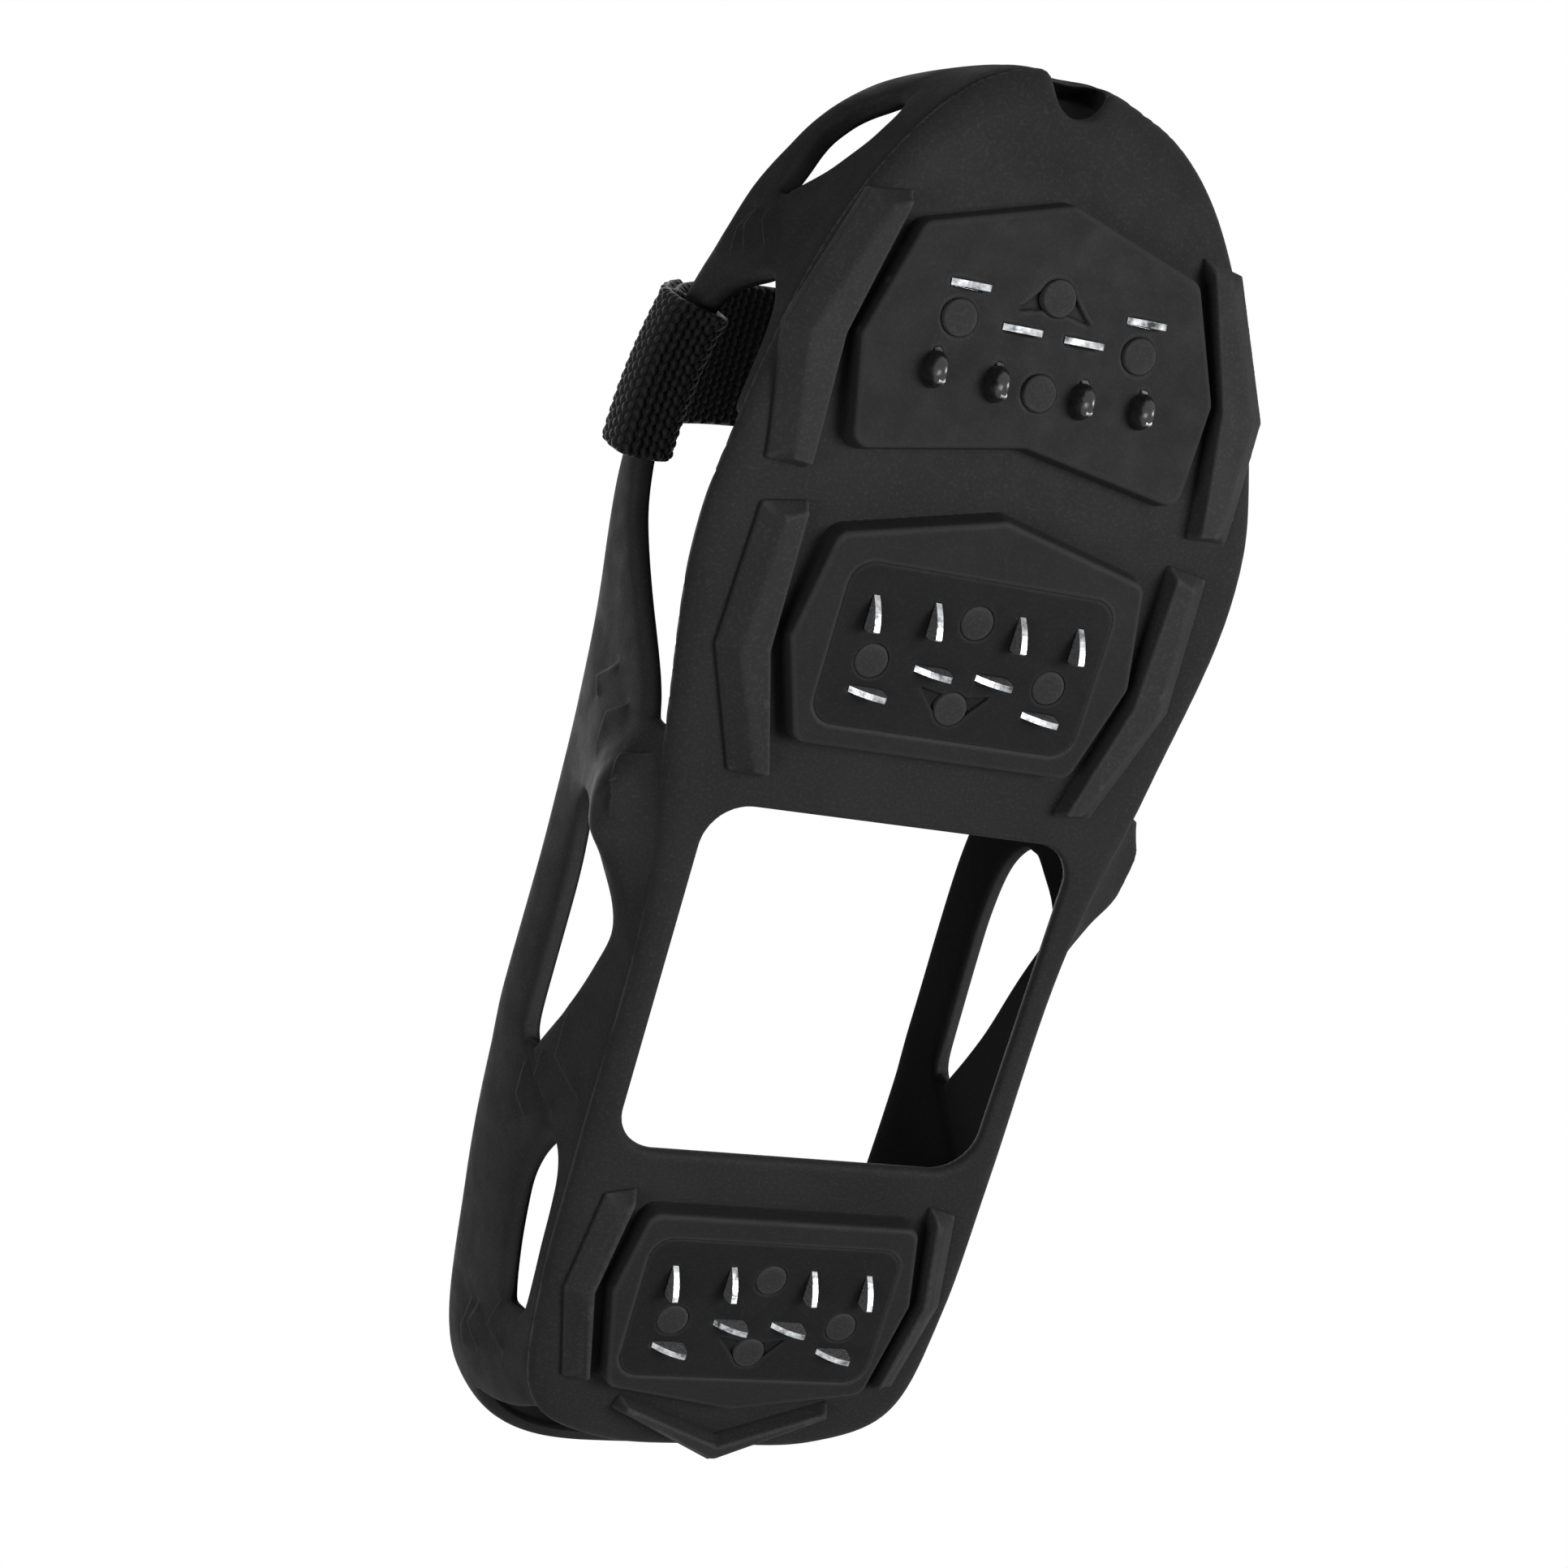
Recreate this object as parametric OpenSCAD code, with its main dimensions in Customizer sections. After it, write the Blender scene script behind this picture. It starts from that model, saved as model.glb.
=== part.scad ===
// Slip-on ice cleat: a rubber sole web with raised lugs, a stretch upper that holds it on,
// three studded pads with stamped steel cleat plates, and a webbing strap over the instep.
// X is to the wearer's right, Y to the toe, Z up. The part stands on its steel teeth.

/* [Sole web] */
// Front edge of the web ahead of the ball plate's centre
toe_y = 107.5; // [95:0.5:120]
// Rear edge of the web behind the ball plate's centre
heel_y = 179; // [174:0.5:190]
// Width of the blunt toe near its tip
toe_w = 44; // [36:0.5:52]
// Width across the ball of the foot
ball_w = 114; // [110:0.5:122]
// Width across the arch
waist_w = 93; // [91:0.5:102]
// Width across the heel
heel_w = 92; // [91:0.5:102]
// Thickness of the web
web_t = 3.5; // [2.5:0.1:5]
// Width of the rounding along the web's lower edge
web_edge = 5; // [2:0.25:6]
// Upward tilt of the toe stretch, in degrees
toe_tilt = 11.5; // [6:0.5:15]
// Where the toe stretch starts to bend up
toe_bend_y = 29; // [28:0.5:31]
// Radius of that bend
toe_bend_r = 50; // [35:1:55]
// Where the tip curls up further
toe_curl_y = 88; // [86:0.5:94]
// Radius of the curl at the tip
toe_curl_r = 60; // [40:1:120]
// Diameter of the drain notch at the toe tip
notch_d = 11; // [6:0.5:16]

/* [Arch window] */
// Width of the window under the arch
window_w = 80; // [60:0.5:84]
// Front edge of the window behind the ball plate's centre
window_front = 34; // [31:0.5:40]
// Rear edge of the window behind the ball plate's centre
window_back = 109; // [95:0.5:111]
// Corner radius of the window
window_r = 9; // [4:0.5:14]

/* [Stretch upper] */
// Thickness of the side wall
wall_t = 3.2; // [2.4:0.1:4.5]
// Thickness of the rim bead
rim_t = 4.6; // [3.6:0.1:6]
// Rim height above the pad faces at the toe
rim_toe_h = 57; // [54:0.5:64]
// Lowest rim height, beside the toes
rim_low_h = 49; // [48:0.5:54]
// Rim height at the arch
rim_arch_h = 61; // [56:0.5:68]
// Rim height behind the heel
rim_heel_h = 62; // [58:0.5:70]
// Width across the rim at the instep
rim_w = 111; // [107:0.5:116]
// Overhang of the rim behind the web's rear edge
rim_over = 28; // [22:0.5:34]
// Outward bulge of the wall behind the ball of the foot
wall_bulge = 11.5; // [0:0.25:13]
// Height of that bulge's crest above the web
bulge_h = 5; // [3:0.25:8]

/* [Pads] */
// Height of the pads below the web
pad_h = 4.5; // [4.2:0.1:6]
// Corner radius of the pads
pad_r = 3; // [1:0.25:5]
// Distance of the toe plate's centre behind the web's front edge
toe_inset = 43.8; // [42:0.1:46]
// Distance of the heel plate's centre ahead of the web's rear edge
heel_inset = 34.5; // [33:0.1:36]
// Height of the side lugs below the web
lug_h = 4.3; // [3:0.1:5.5]
// Slope width on the outer side of a lug
lug_slope = 4; // [2:0.25:5]

/* [Cleats] */
// Thickness of the plate's sheet steel
sheet_t = 1.2; // [0.8:0.1:1.8]
// Height of the teeth below the pad faces
tooth_h = 4.2; // [3:0.1:6]
// Width of a tooth at its base
tooth_w = 6.8; // [5:0.1:7.2]
// Half width of the cleat cover
cover_x = 28.1; // [26.5:0.1:28.6]
// Front edge of the cleat cover from the plate's centre
cover_front = 18.8; // [16.5:0.1:19.5]
// Rear edge of the cleat cover behind the plate's centre
cover_back = 13.5; // [13:0.1:14]
// Thickness of the cleat cover
cover_t = 1.3; // [1:0.1:1.4]
// Diameter of the rubber plugs
plug_d = 6.8; // [6:0.1:7]
// Height of the toe plugs above their pad face
plug_proud = 0.9; // [0:0.1:1.2]

/* [Strap] */
// Width of the webbing
strap_w = 30; // [22:0.5:34]
// Thickness of the webbing
strap_t = 2; // [1.4:0.1:2.6]
// Middle of the strap ahead of the ball plate's centre
strap_y = 34.5; // [30:0.5:38]
// Top of the strap above the pad faces
strap_top = 89; // [80:0.5:100]
// Thickness of a hook or loop patch
patch_t = 0.8; // [0.5:0.1:1.2]
// Gap between the closed hook and loop faces
patch_gap = 0.3; // [0.2:0.05:0.6]

/* [Hidden] */
// Thickness of a glue line between bonded pieces
bond_gap = 0.05;
// Running room round a plug, a tooth or the cover
seat_gap = 0.15;
// Slack of the webbing round the rim
loop_slack = 0.9;
// Outward sag of the webbing loops
loop_sag = 0.9;
// Rubber left over the heads of the plugs
plug_roof = 0.5;
// Margin of the steel plate inside the cover's outline
plate_margin = 1.2;
// Room round a tooth in the cover
slot_room = 0.9;
// Corner radius of the cover
cover_r = 5;
// Length of the window that a tooth is bent out of, and its room beside the tooth
bend_window = 4.4;
bend_relief = 0.3;
// Depth of the ledge on which the upper is bonded, and its room beside the wall
ledge_d = 0.4;
ledge_room = 0.3;
// Draft on the sides of a lug, the depth of its root, and its upright foot below the web's lower face
lug_draft = 0.8;
lug_root = web_t - 2 * ledge_d;
lug_foot = 0.9;
// Margin of the hook and loop patches inside the webbing's edges
patch_margin = 2;
// Angle round the instep of the tail's free end, and angles left free at the ends of the two patches
tail_end = 104;
loop_lead = 9;
loop_stop = 8;
hook_lead = 3;
hook_stop = 13;
// Places of the plates and of the rim's rear, taken from the web's ends
toe_plate_y = toe_y - toe_inset;
heel_plate_y = heel_y - heel_inset;
rim_back_y = heel_y + rim_over;
$fn = 48;

rubber = [0.16, 0.16, 0.165];
rubber_pad = [0.14, 0.14, 0.145];
steel = [0.72, 0.73, 0.75];
webbing = [0.05, 0.05, 0.055];

// Rise of the sole along Y: flat, a bend, a straight toe stretch, and a curl at the tip
bend_end_y = toe_bend_y + toe_bend_r * sin(toe_tilt);
bend_rise = toe_bend_r * (1 - cos(toe_tilt));
function bend(y) = toe_bend_r - sqrt(pow(toe_bend_r, 2) - pow(y - toe_bend_y, 2));
function rock(y) =
    y <= toe_bend_y ? 0
    : y <= bend_end_y ? bend(y)
    : bend_rise + (y - bend_end_y) * tan(toe_tilt) + pow(max(y - toe_curl_y, 0), 2) / (2 * toe_curl_r);
function tilt_at(y) = y > bend_end_y ? toe_tilt : 0;
// Height of the web's top
deck_h = pad_h + web_t;
function deck(y) = rock(y) + deck_h;

// Half outlines from the toe's centre to the heel's centre, for the web's edge and for the rim
web_pts = [
    [0, toe_y],
    [toe_w / 2, toe_y - 5],
    [(toe_w + ball_w) / 4 - 1.5, toe_y - 23],
    [ball_w / 2 - 7, toe_y - 51.5],
    [ball_w / 2, 20],
    [ball_w / 2 - 4.5, -20],
    [waist_w / 2, -60],
    [waist_w / 2, -110],
    [heel_w / 2, 35 - heel_y],
    [heel_w / 2 - 4.8, 10 - heel_y],
    [heel_w / 2 - 21.8, 1 - heel_y],
    [0, -heel_y],
];
rim_pts = [
    [0, toe_y - 8.5],
    [toe_w / 2, toe_y - 11.5],
    [(toe_w + ball_w) / 4 + 1.5, toe_y - 26.5],
    [rim_w / 2 - 4, toe_y - 52.5],
    [rim_w / 2, 20],
    [rim_w / 2 - 4.5, -20],
    [rim_w / 2 - 7.5, -60],
    [rim_w / 2 - 7, -110],
    [rim_w / 2 - 9, 57 - rim_back_y],
    [rim_w / 2 - 15, 20 - rim_back_y],
    [rim_w / 2 - 29.5, 4 - rim_back_y],
    [0, -rim_back_y],
];
last = len(web_pts) - 1;
rim_top = [[0, rim_toe_h], [1.2, rim_toe_h - 1], [2, rim_low_h], [3, rim_low_h + 0.5], [4, rim_low_h + 4],
    [5, rim_arch_h - 3], [6, rim_arch_h], [7, rim_arch_h - 0.5], [8, rim_heel_h - 4],
    [9, rim_heel_h - 4], [10, rim_heel_h - 2], [11, rim_heel_h]];
// Lower and upper edge of the openings along the upper: toe, ball, arch, heel and back
gap_edges = [
    [0, 31, 36], [0.27, 30, 36],
    [1.32, 34, 40], [1.5, 30.5, 45], [1.8, 29.5, 45], [2.1, 32.5, 41.5], [2.33, 38.5, 40.5],
    [2.82, 23, 26], [2.92, 18, 34], [3.05, 15.5, 40], [3.25, 13, 43], [3.5, 11, 43.8], [4, 11, 44],
    [4.3, 10, 41], [4.6, 10, 32], [4.85, 10, 19], [4.98, 9.2, 11.5],
    [5.72, 35, 40], [5.8, 25, 42.5], [5.95, 17.5, 43.5], [6.15, 17, 43.5], [6.5, 25, 43],
    [6.88, 37, 42.3],
    [7.12, 14.5, 18], [7.22, 12.2, 21.5], [7.45, 11.2, 25.5], [7.9, 11.2, 24.5], [8.25, 12.5, 23],
    [9.2, 38, 40], [10, 38, 42], [11, 38, 44],
];
// Bays of the upper: start, end, steps, then 1 where the low band and the middle band exist
toe_bays = [[-1.32, -0.27, 6, 1, 1], [-0.27, 0.27, 4, 0, 1], [0.27, 1.32, 6, 1, 1]];
side_bays = [[1.32, 2.33, 10, 1, 0], [2.33, 2.82, 4, 1, 1], [2.82, 3.5, 6, 1, 0], [3.5, 4.98, 14, 0, 0],
    [4.98, 5.72, 9, 1, 1], [5.72, 6.88, 12, 1, 0], [6.88, 7.12, 3, 1, 1], [7.12, 8.25, 10, 1, 0],
    [8.25, 9.2, 7, 1, 1]];
heel_bays = [[9.2, 12.8, 28, 0, 0]];

// Smooth curve through the points of a half outline, mirrored past both ends
function flip(p) = [-p.x, p.y];
function knot(pts, i) = i < 0 ? flip(pts[-i]) : i > last ? flip(pts[2 * last - i]) : pts[i];
function spline(a, b, c, d, t) =
    0.5 * (2 * b + (c - a) * t + (2 * a - 5 * b + 4 * c - d) * t * t + (3 * b - a - 3 * c + d) * t * t * t);
function half_at(pts, u) =
    let (i = min(floor(u), last - 1))
    spline(knot(pts, i - 1), pts[i], pts[i + 1], knot(pts, i + 2), u - i);
function folded(u) = u < 0 ? -u : u > last ? 2 * last - u : u;
function curve_at(pts, u) = u < 0 || u > last ? flip(half_at(pts, folded(u))) : half_at(pts, u);
function unit(v) = v / norm(v);
function normal_at(pts, u) =
    let (d = curve_at(pts, u + 0.02) - curve_at(pts, u - 0.02))
    unit([-d.y, d.x]);
function column(table, k) = [for (row = table) [row[0], row[k]]];
function top_at(u) = lookup(folded(u), rim_top);
function low_at(u) = lookup(folded(u), column(gap_edges, 1));
function high_at(u) = lookup(folded(u), column(gap_edges, 2));

// Bulge of the wall at station u: it rises straight to its crest and fades out up to the rim
bulge_rows = [[5, 0], [5.15, 0.25], [5.3, 0.7], [5.45, 1], [5.65, 1], [5.9, 0.45], [6.15, 0]];
function bulge_at(u, above, below) =
    let (fade = max(0, below / (above + below - bulge_h)))
    wall_bulge * lookup(folded(u), bulge_rows)
        * (above < bulge_h ? max(0, above) / bulge_h : fade * fade);
// A point of the upper's wall at station u, height z, set off by s from its middle surface
function lean(u, w) =
    let (flare = lookup(folded(u), [[2, 0], [5, 1]]))
    (1 - flare) * w * w + flare * w * (2 - w);
function wall_point(u, z, s) =
    let (
        floor_z = deck(curve_at(web_pts, u).y),
        w = max(0, min(1, (z - floor_z) / (top_at(u) - floor_z))),
        side = unit((1 - w) * normal_at(web_pts, u) + w * normal_at(rim_pts, u)),
        foot = curve_at(web_pts, u) - normal_at(web_pts, u) * wall_t / 2,
        plan = foot + (curve_at(rim_pts, u) - foot) * lean(u, w) + side * (s + bulge_at(u, z - floor_z, top_at(u) - z))
    )
    [plan.x, plan.y, z];
function on_deck(p) = [p.x, p.y, deck(p.y) - ledge_d + bond_gap];

// Heights of the six levels of the wall and the thickness at each
function levels(u) =
    let (foot = deck(curve_at(web_pts, u).y), low = low_at(u), high = high_at(u), top = top_at(u))
    [foot, min(foot + bulge_h, (foot + low) / 2), low, high, (high + top) / 2, top];
thick = [wall_t, wall_t, wall_t, rim_t * 0.8, rim_t, rim_t * 0.7];
function level_point(u, j, s) =
    let (p = wall_point(u, levels(u)[j], s * thick[j] / 2))
    j == 0 ? on_deck(p) : p;

// Closed shell of a run of bays, left open where a bay has no low or middle band
function bay_steps(bays) =
    [for (b = bays) for (k = [0:b[2] - 1]) [b[0] + (b[1] - b[0]) * k / b[2], b[3], b[4]]];
function cell(steps, i, j) =
    i < 0 || j < 0 || i >= len(steps) || j > 4 ? 0 : j < 2 ? steps[i][1] : j == 2 ? steps[i][2] : 1;
function at(i, j, k) = (i * len(thick) + j) * 2 + k;
function quad(a, b, c, d) = [[a, b, c], [a, c, d]];
module wall_run(bays) {
    steps = bay_steps(bays);
    n = len(steps);
    stations = concat([for (s = steps) s[0]], [bays[len(bays) - 1][1]]);
    points = [for (u = stations) for (j = [0:len(thick) - 1]) for (s = [1, -1]) level_point(u, j, s)];
    faces = [for (i = [0:n - 1]) for (j = [0:len(thick) - 2]) if (cell(steps, i, j) == 1) each concat(
        quad(at(i, j, 0), at(i, j + 1, 0), at(i + 1, j + 1, 0), at(i + 1, j, 0)),
        quad(at(i, j, 1), at(i + 1, j, 1), at(i + 1, j + 1, 1), at(i, j + 1, 1)),
        cell(steps, i, j - 1) == 1 ? [] : quad(at(i, j, 0), at(i + 1, j, 0), at(i + 1, j, 1), at(i, j, 1)),
        cell(steps, i, j + 1) == 1 ? []
            : quad(at(i, j + 1, 0), at(i, j + 1, 1), at(i + 1, j + 1, 1), at(i + 1, j + 1, 0)),
        cell(steps, i - 1, j) == 1 ? [] : quad(at(i, j, 0), at(i, j, 1), at(i, j + 1, 1), at(i, j + 1, 0)),
        cell(steps, i + 1, j) == 1 ? []
            : quad(at(i + 1, j, 0), at(i + 1, j + 1, 0), at(i + 1, j + 1, 1), at(i + 1, j, 1))
    )];
    polyhedron(points, faces);
}

// The whole part stands on its teeth, with the middle of its length at the origin
mid_y = (toe_y - rim_back_y - rim_t / 2) / 2;
module placed() {
    translate([0, -mid_y, tooth_h])
        children();
}
// Frame under the web at a plate's centre, with Z = 0 on the web's lower face
module under_web(y) {
    translate([0, y, rock(y) + pad_h])
        rotate([tilt_at(y), 0, 0])
            children();
}

// Outline with its corners rounded by arcs
function corner(a, b, c, r) =
    let (
        p = unit(a - b),
        q = unit(c - b),
        half = acos(p * q) / 2,
        mid = b + unit(p + q) * r / sin(half),
        from = b + p * r / tan(half) - mid,
        to = b + q * r / tan(half) - mid,
        turn = atan2(from.x * to.y - from.y * to.x, from * to)
    )
    [for (k = [0:4]) let (g = turn * k / 4)
        mid + [from.x * cos(g) - from.y * sin(g), from.x * sin(g) + from.y * cos(g)]];
function rounded(pts, r) =
    let (n = len(pts))
    [for (i = [0:n - 1]) each corner(pts[(i + n - 1) % n], pts[i], pts[(i + 1) % n], r)];
function box_pts(x, front, back) = [[x, front], [-x, front], [-x, -back], [x, -back]];
// Full outline from points on the wearer's right, listed from front to rear
function mirrored(half) = concat(half, [for (i = [len(half) - 1:-1:0]) if (half[i].x > 0) flip(half[i])]);

// The rubber web: cross sections from toe to heel with a rounded lower edge and a ledge for the upper
ledge_h = web_t - ledge_d;
ledge_w = wall_t + ledge_room;
web_section = concat([for (a = [0, 30, 60, 90]) [web_edge * (1 - sin(a)), ledge_h * (1 - cos(a))]],
    [[ledge_w, ledge_h], [ledge_w, web_t]]);
function web_point(u, q) =
    let (p = curve_at(web_pts, u) - normal_at(web_pts, u) * q.x)
    [p.x, p.y, rock(p.y) + pad_h + q.y];
module web_body() {
    steps = 110;
    tip = 0.05;
    n = len(web_section);
    m = 2 * n;
    stations = [for (k = [0:steps]) tip + (last - 2 * tip) * k / steps];
    points = [for (u = stations) each concat([for (q = web_section) web_point(u, q)],
        [for (i = [n - 1:-1:0]) let (p = web_point(u, web_section[i])) [-p.x, p.y, p.z]])];
    skin = [for (i = [0:steps - 1]) for (j = [0:m - 1]) let (a = i * m + j, b = i * m + (j + 1) % m)
        each quad(a, a + m, b + m, b)];
    rear = steps * m;
    ends = [for (j = [0:n - 2]) each concat(quad(j, j + 1, m - 2 - j, m - 1 - j),
        quad(rear + m - 1 - j, rear + m - 2 - j, rear + j + 1, rear + j))];
    polyhedron(points, concat(skin, ends));
}
// A lug bent at its middle: its outline at the web and the outline of its flat top,
// each as the front, middle and rear point of one side, then the rear, middle and front of the other
module lug(base, top) {
    n = len(base);
    points = concat([for (p = base) [p.x, p.y, lug_root]], [for (p = base) [p.x, p.y, -lug_foot]],
        [for (p = top) [p.x, p.y, -lug_h]]);
    ring = [for (k = [0, n]) for (i = [0:n - 1])
        each quad(k + i, k + (i + 1) % n, k + n + (i + 1) % n, k + n + i)];
    halves = [[0, 1, 4, 5], [1, 2, 3, 4]];
    root_cap = [for (h = halves) [for (i = [3:-1:0]) h[i]]];
    top_cap = [for (h = halves) [for (i = h) 2 * n + i]];
    polyhedron(points, concat(root_cap, ring, top_cap));
}
// An elbowed side lug: front, elbow and rear, each with its inner and outer X
module side_lug(front, elbow, rear) {
    base = [[front[1], front[0] - 1.5], [elbow[1], elbow[0]], [rear[1], rear[0]],
        [rear[2], rear[0] + 0.5], [elbow[2], elbow[0] - 1], [front[2], front[0] - 3]];
    top = [[front[1] + lug_draft, front[0] - 3], [elbow[1] + lug_draft, elbow[0]],
        [rear[1] + lug_draft, rear[0] + 1.5], [rear[2] - lug_slope, rear[0] + 2],
        [elbow[2] - lug_slope, elbow[0] - 1],
        [front[2] - lug_slope, front[0] - 4.5]];
    lug(base, top);
    mirror([1, 0, 0])
        lug(base, top);
}
module rear_chevron() {
    half_w = 24.6;
    base = [[half_w - 1, 13.5 - heel_y], [0, 4.5 - heel_y], [1 - half_w, 13.5 - heel_y],
        [-half_w, 10.5 - heel_y], [0, -1.5 - heel_y], [half_w, 10.5 - heel_y]];
    top = [[half_w - 2, 13.5 - lug_draft - heel_y], [0, 4.5 - lug_draft - heel_y],
        [2 - half_w, 13.5 - lug_draft - heel_y], [2 - half_w, 11.5 - heel_y], [0, 1 - heel_y],
        [half_w - 2, 11.5 - heel_y]];
    lug(base, top);
}
module outsole() {
    color(rubber)
        placed() {
            difference() {
                web_body();
                linear_extrude(height = 2 * deck_h)
                    polygon(rounded(box_pts(window_w / 2, -window_front, window_back), window_r));
                translate([0, toe_y, 0])
                    cylinder(d = notch_d, h = deck(toe_y) + 5);
            }
            under_web(toe_plate_y)
                side_lug([22, 31, 39.5], [-6, 39, 50.6], [-31.5, 40.5, 48.8]);
            under_web(0) {
                side_lug([28.5, 38.5, 47.3], [-1.5, 38.3, 48.6], [-27, 31.4, 39.3]);
                rear_chevron();
            }
            under_web(-heel_plate_y)
                side_lug([29, 33, 39.2], [5, 36.3, 42.3], [-17, 32, 37.5]);
        }
}

// The stretch upper, in four runs that meet on solid stretches of the wall
module upper_toe() {
    color(rubber)
        placed()
            wall_run(toe_bays);
}
module upper_right() {
    color(rubber)
        placed()
            wall_run(side_bays);
}
module upper_left() {
    color(rubber)
        mirror([1, 0, 0])
            placed()
                wall_run(side_bays);
}
module upper_heel() {
    color(rubber)
        placed()
            wall_run(heel_bays);
}

// Plug and tooth places about a plate's centre: the plate is turned by half on the toe pad
plug_places = [[0, 10.4], [0, -7.1], [19, 0], [-19, 0]];
// A tooth's X, Y, direction of its base in degrees, and side of the window it was bent from
tooth_places = [for (s = [1, -1]) each [[9 * s, 9.7, 90, -s], [21.8 * s, 9.3, 90, s], [6.5 * s, -0.1, 0, 1],
    [18.5 * s, -6, 0, -1]]];
// Depths in the pad, down from the web's lower face
plate_top = pad_h - cover_t - bond_gap - sheet_t;
pocket_top = plate_top - bond_gap;

toe_outline = [[0, 23.9], [28.9, 15.3], [37, -6.2], [34.3, -26.4], [0, -20.6]];
ball_outline = [[0, 30.5], [32.4, 23], [36.2, 2.1], [29.6, -17.9]];
heel_outline = [[29.9, 24], [33.5, 5.7], [29, -16.5], [0, -21.2]];
function inset_cover(by) =
    rounded(box_pts(cover_x - by, cover_front - by, cover_back - by), cover_r - by);

module pad(outline, turn) {
    difference() {
        translate([0, 0, -pad_h])
            linear_extrude(height = pad_h - bond_gap)
                polygon(rounded(mirrored(outline), pad_r));
        rotate([0, 0, turn]) {
            translate([0, 0, -pad_h - 1])
                linear_extrude(height = pad_h + 1 - pocket_top)
                    polygon(inset_cover(0));
            for (p = plug_places)
                translate([p.x, p.y, -pad_h])
                    cylinder(d = plug_d + 2 * seat_gap, h = pad_h - plug_roof);
        }
    }
}
module tooth_slot(room) {
    polygon(rounded(box_pts(tooth_w / 2 + room, sheet_t / 2 + room, sheet_t / 2 + room), room * 0.9));
}
module cleat_cover(turn) {
    rotate([0, 0, turn])
        translate([0, 0, -pad_h])
            linear_extrude(height = cover_t)
                difference() {
                    polygon(inset_cover(seat_gap));
                    for (p = plug_places)
                        translate(p)
                            circle(d = plug_d + 2 * seat_gap);
                    for (t = tooth_places)
                        translate([t[0], t[1]])
                            rotate(t[2])
                                tooth_slot(slot_room);
                    translate(plug_places[1])
                        polygon([[7.4, 3.4], [0, 2.2], [-7.4, 3.4], [-2.4, -2], [2.4, -2]]);
                }
}
// A fin-shaped tooth in its own plane: X along the base, Y down out of the plate
function arc_to(a, b, c, n) =
    [for (k = [1:n]) let (t = k / n) (1 - t) * (1 - t) * a + 2 * t * (1 - t) * b + t * t * c];
module fin() {
    foot = cover_t + bond_gap;
    tip = foot + tooth_h;
    left = [-tooth_w / 2, foot];
    crest = [-tooth_w * 0.36, tip];
    polygon(concat([[tooth_w / 2, -sheet_t], [-tooth_w / 2, -sheet_t], left],
        arc_to(left, [-tooth_w * 0.48, tip - 0.2], crest, 6),
        arc_to(crest, [tooth_w * 0.12, tip - tooth_h * 0.2], [tooth_w / 2, foot], 6)));
}
module cleat_plate(turn) {
    rotate([0, 0, turn])
        translate([0, 0, -plate_top - sheet_t]) {
            linear_extrude(height = sheet_t)
                difference() {
                    polygon(inset_cover(plate_margin));
                    for (p = plug_places)
                        translate(p)
                            circle(d = plug_d + 2 * seat_gap);
                    for (t = tooth_places)
                        translate([t[0], t[1]])
                            rotate(t[2])
                                mirror([0, t[3] > 0 ? 0 : 1, 0])
                                    translate([-tooth_w / 2 - bend_relief, sheet_t / 2])
                                        square([tooth_w + 2 * bend_relief, bend_window]);
                }
            for (t = tooth_places)
                translate([t[0], t[1], 0])
                    rotate([0, 0, t[2]])
                        translate([0, sheet_t / 2, 0])
                            rotate([90, 0, 0])
                                mirror([0, 1, 0])
                                    mirror([turn > 0 ? 1 : 0, 0, 0])
                                        linear_extrude(height = sheet_t)
                                            fin();
        }
}
module plugs(turn, proud) {
    rotate([0, 0, turn])
        for (p = plug_places)
            translate([p.x, p.y, -pad_h - proud])
                cylinder(d = plug_d, h = pad_h + proud - plug_roof - bond_gap);
}
module cleat_site(y) {
    placed()
        under_web(y)
            children();
}
module toe_pad() {
    color(rubber_pad)
        cleat_site(toe_plate_y)
            pad(toe_outline, 180);
}
module ball_pad() {
    color(rubber_pad)
        cleat_site(0)
            pad(ball_outline, 0);
}
module heel_pad() {
    color(rubber_pad)
        cleat_site(-heel_plate_y)
            pad(heel_outline, 0);
}
module toe_cover() {
    color(rubber_pad)
        cleat_site(toe_plate_y)
            cleat_cover(180);
}
module ball_cover() {
    color(rubber_pad)
        cleat_site(0)
            cleat_cover(0);
}
module heel_cover() {
    color(rubber_pad)
        cleat_site(-heel_plate_y)
            cleat_cover(0);
}
module toe_cleat_plate() {
    color(steel)
        cleat_site(toe_plate_y)
            cleat_plate(180);
}
module ball_cleat_plate() {
    color(steel)
        cleat_site(0)
            cleat_plate(0);
}
module heel_cleat_plate() {
    color(steel)
        cleat_site(-heel_plate_y)
            cleat_plate(0);
}
module toe_plugs() {
    color(rubber)
        cleat_site(toe_plate_y)
            plugs(180, plug_proud);
}
module ball_plugs() {
    color(rubber)
        cleat_site(0)
            plugs(0, 0);
}
module heel_plugs() {
    color(rubber)
        cleat_site(-heel_plate_y)
            plugs(0, 0);
}

// Strap stations along the rim, from the strap's front edge to its rear edge
rim_rows = [for (i = [0:last]) [-rim_pts[i].y, i]];
function station(y) = lookup(-y, rim_rows);
strap_from = station(strap_y + strap_w / 2);
strap_to = station(strap_y - strap_w / 2);
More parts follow.
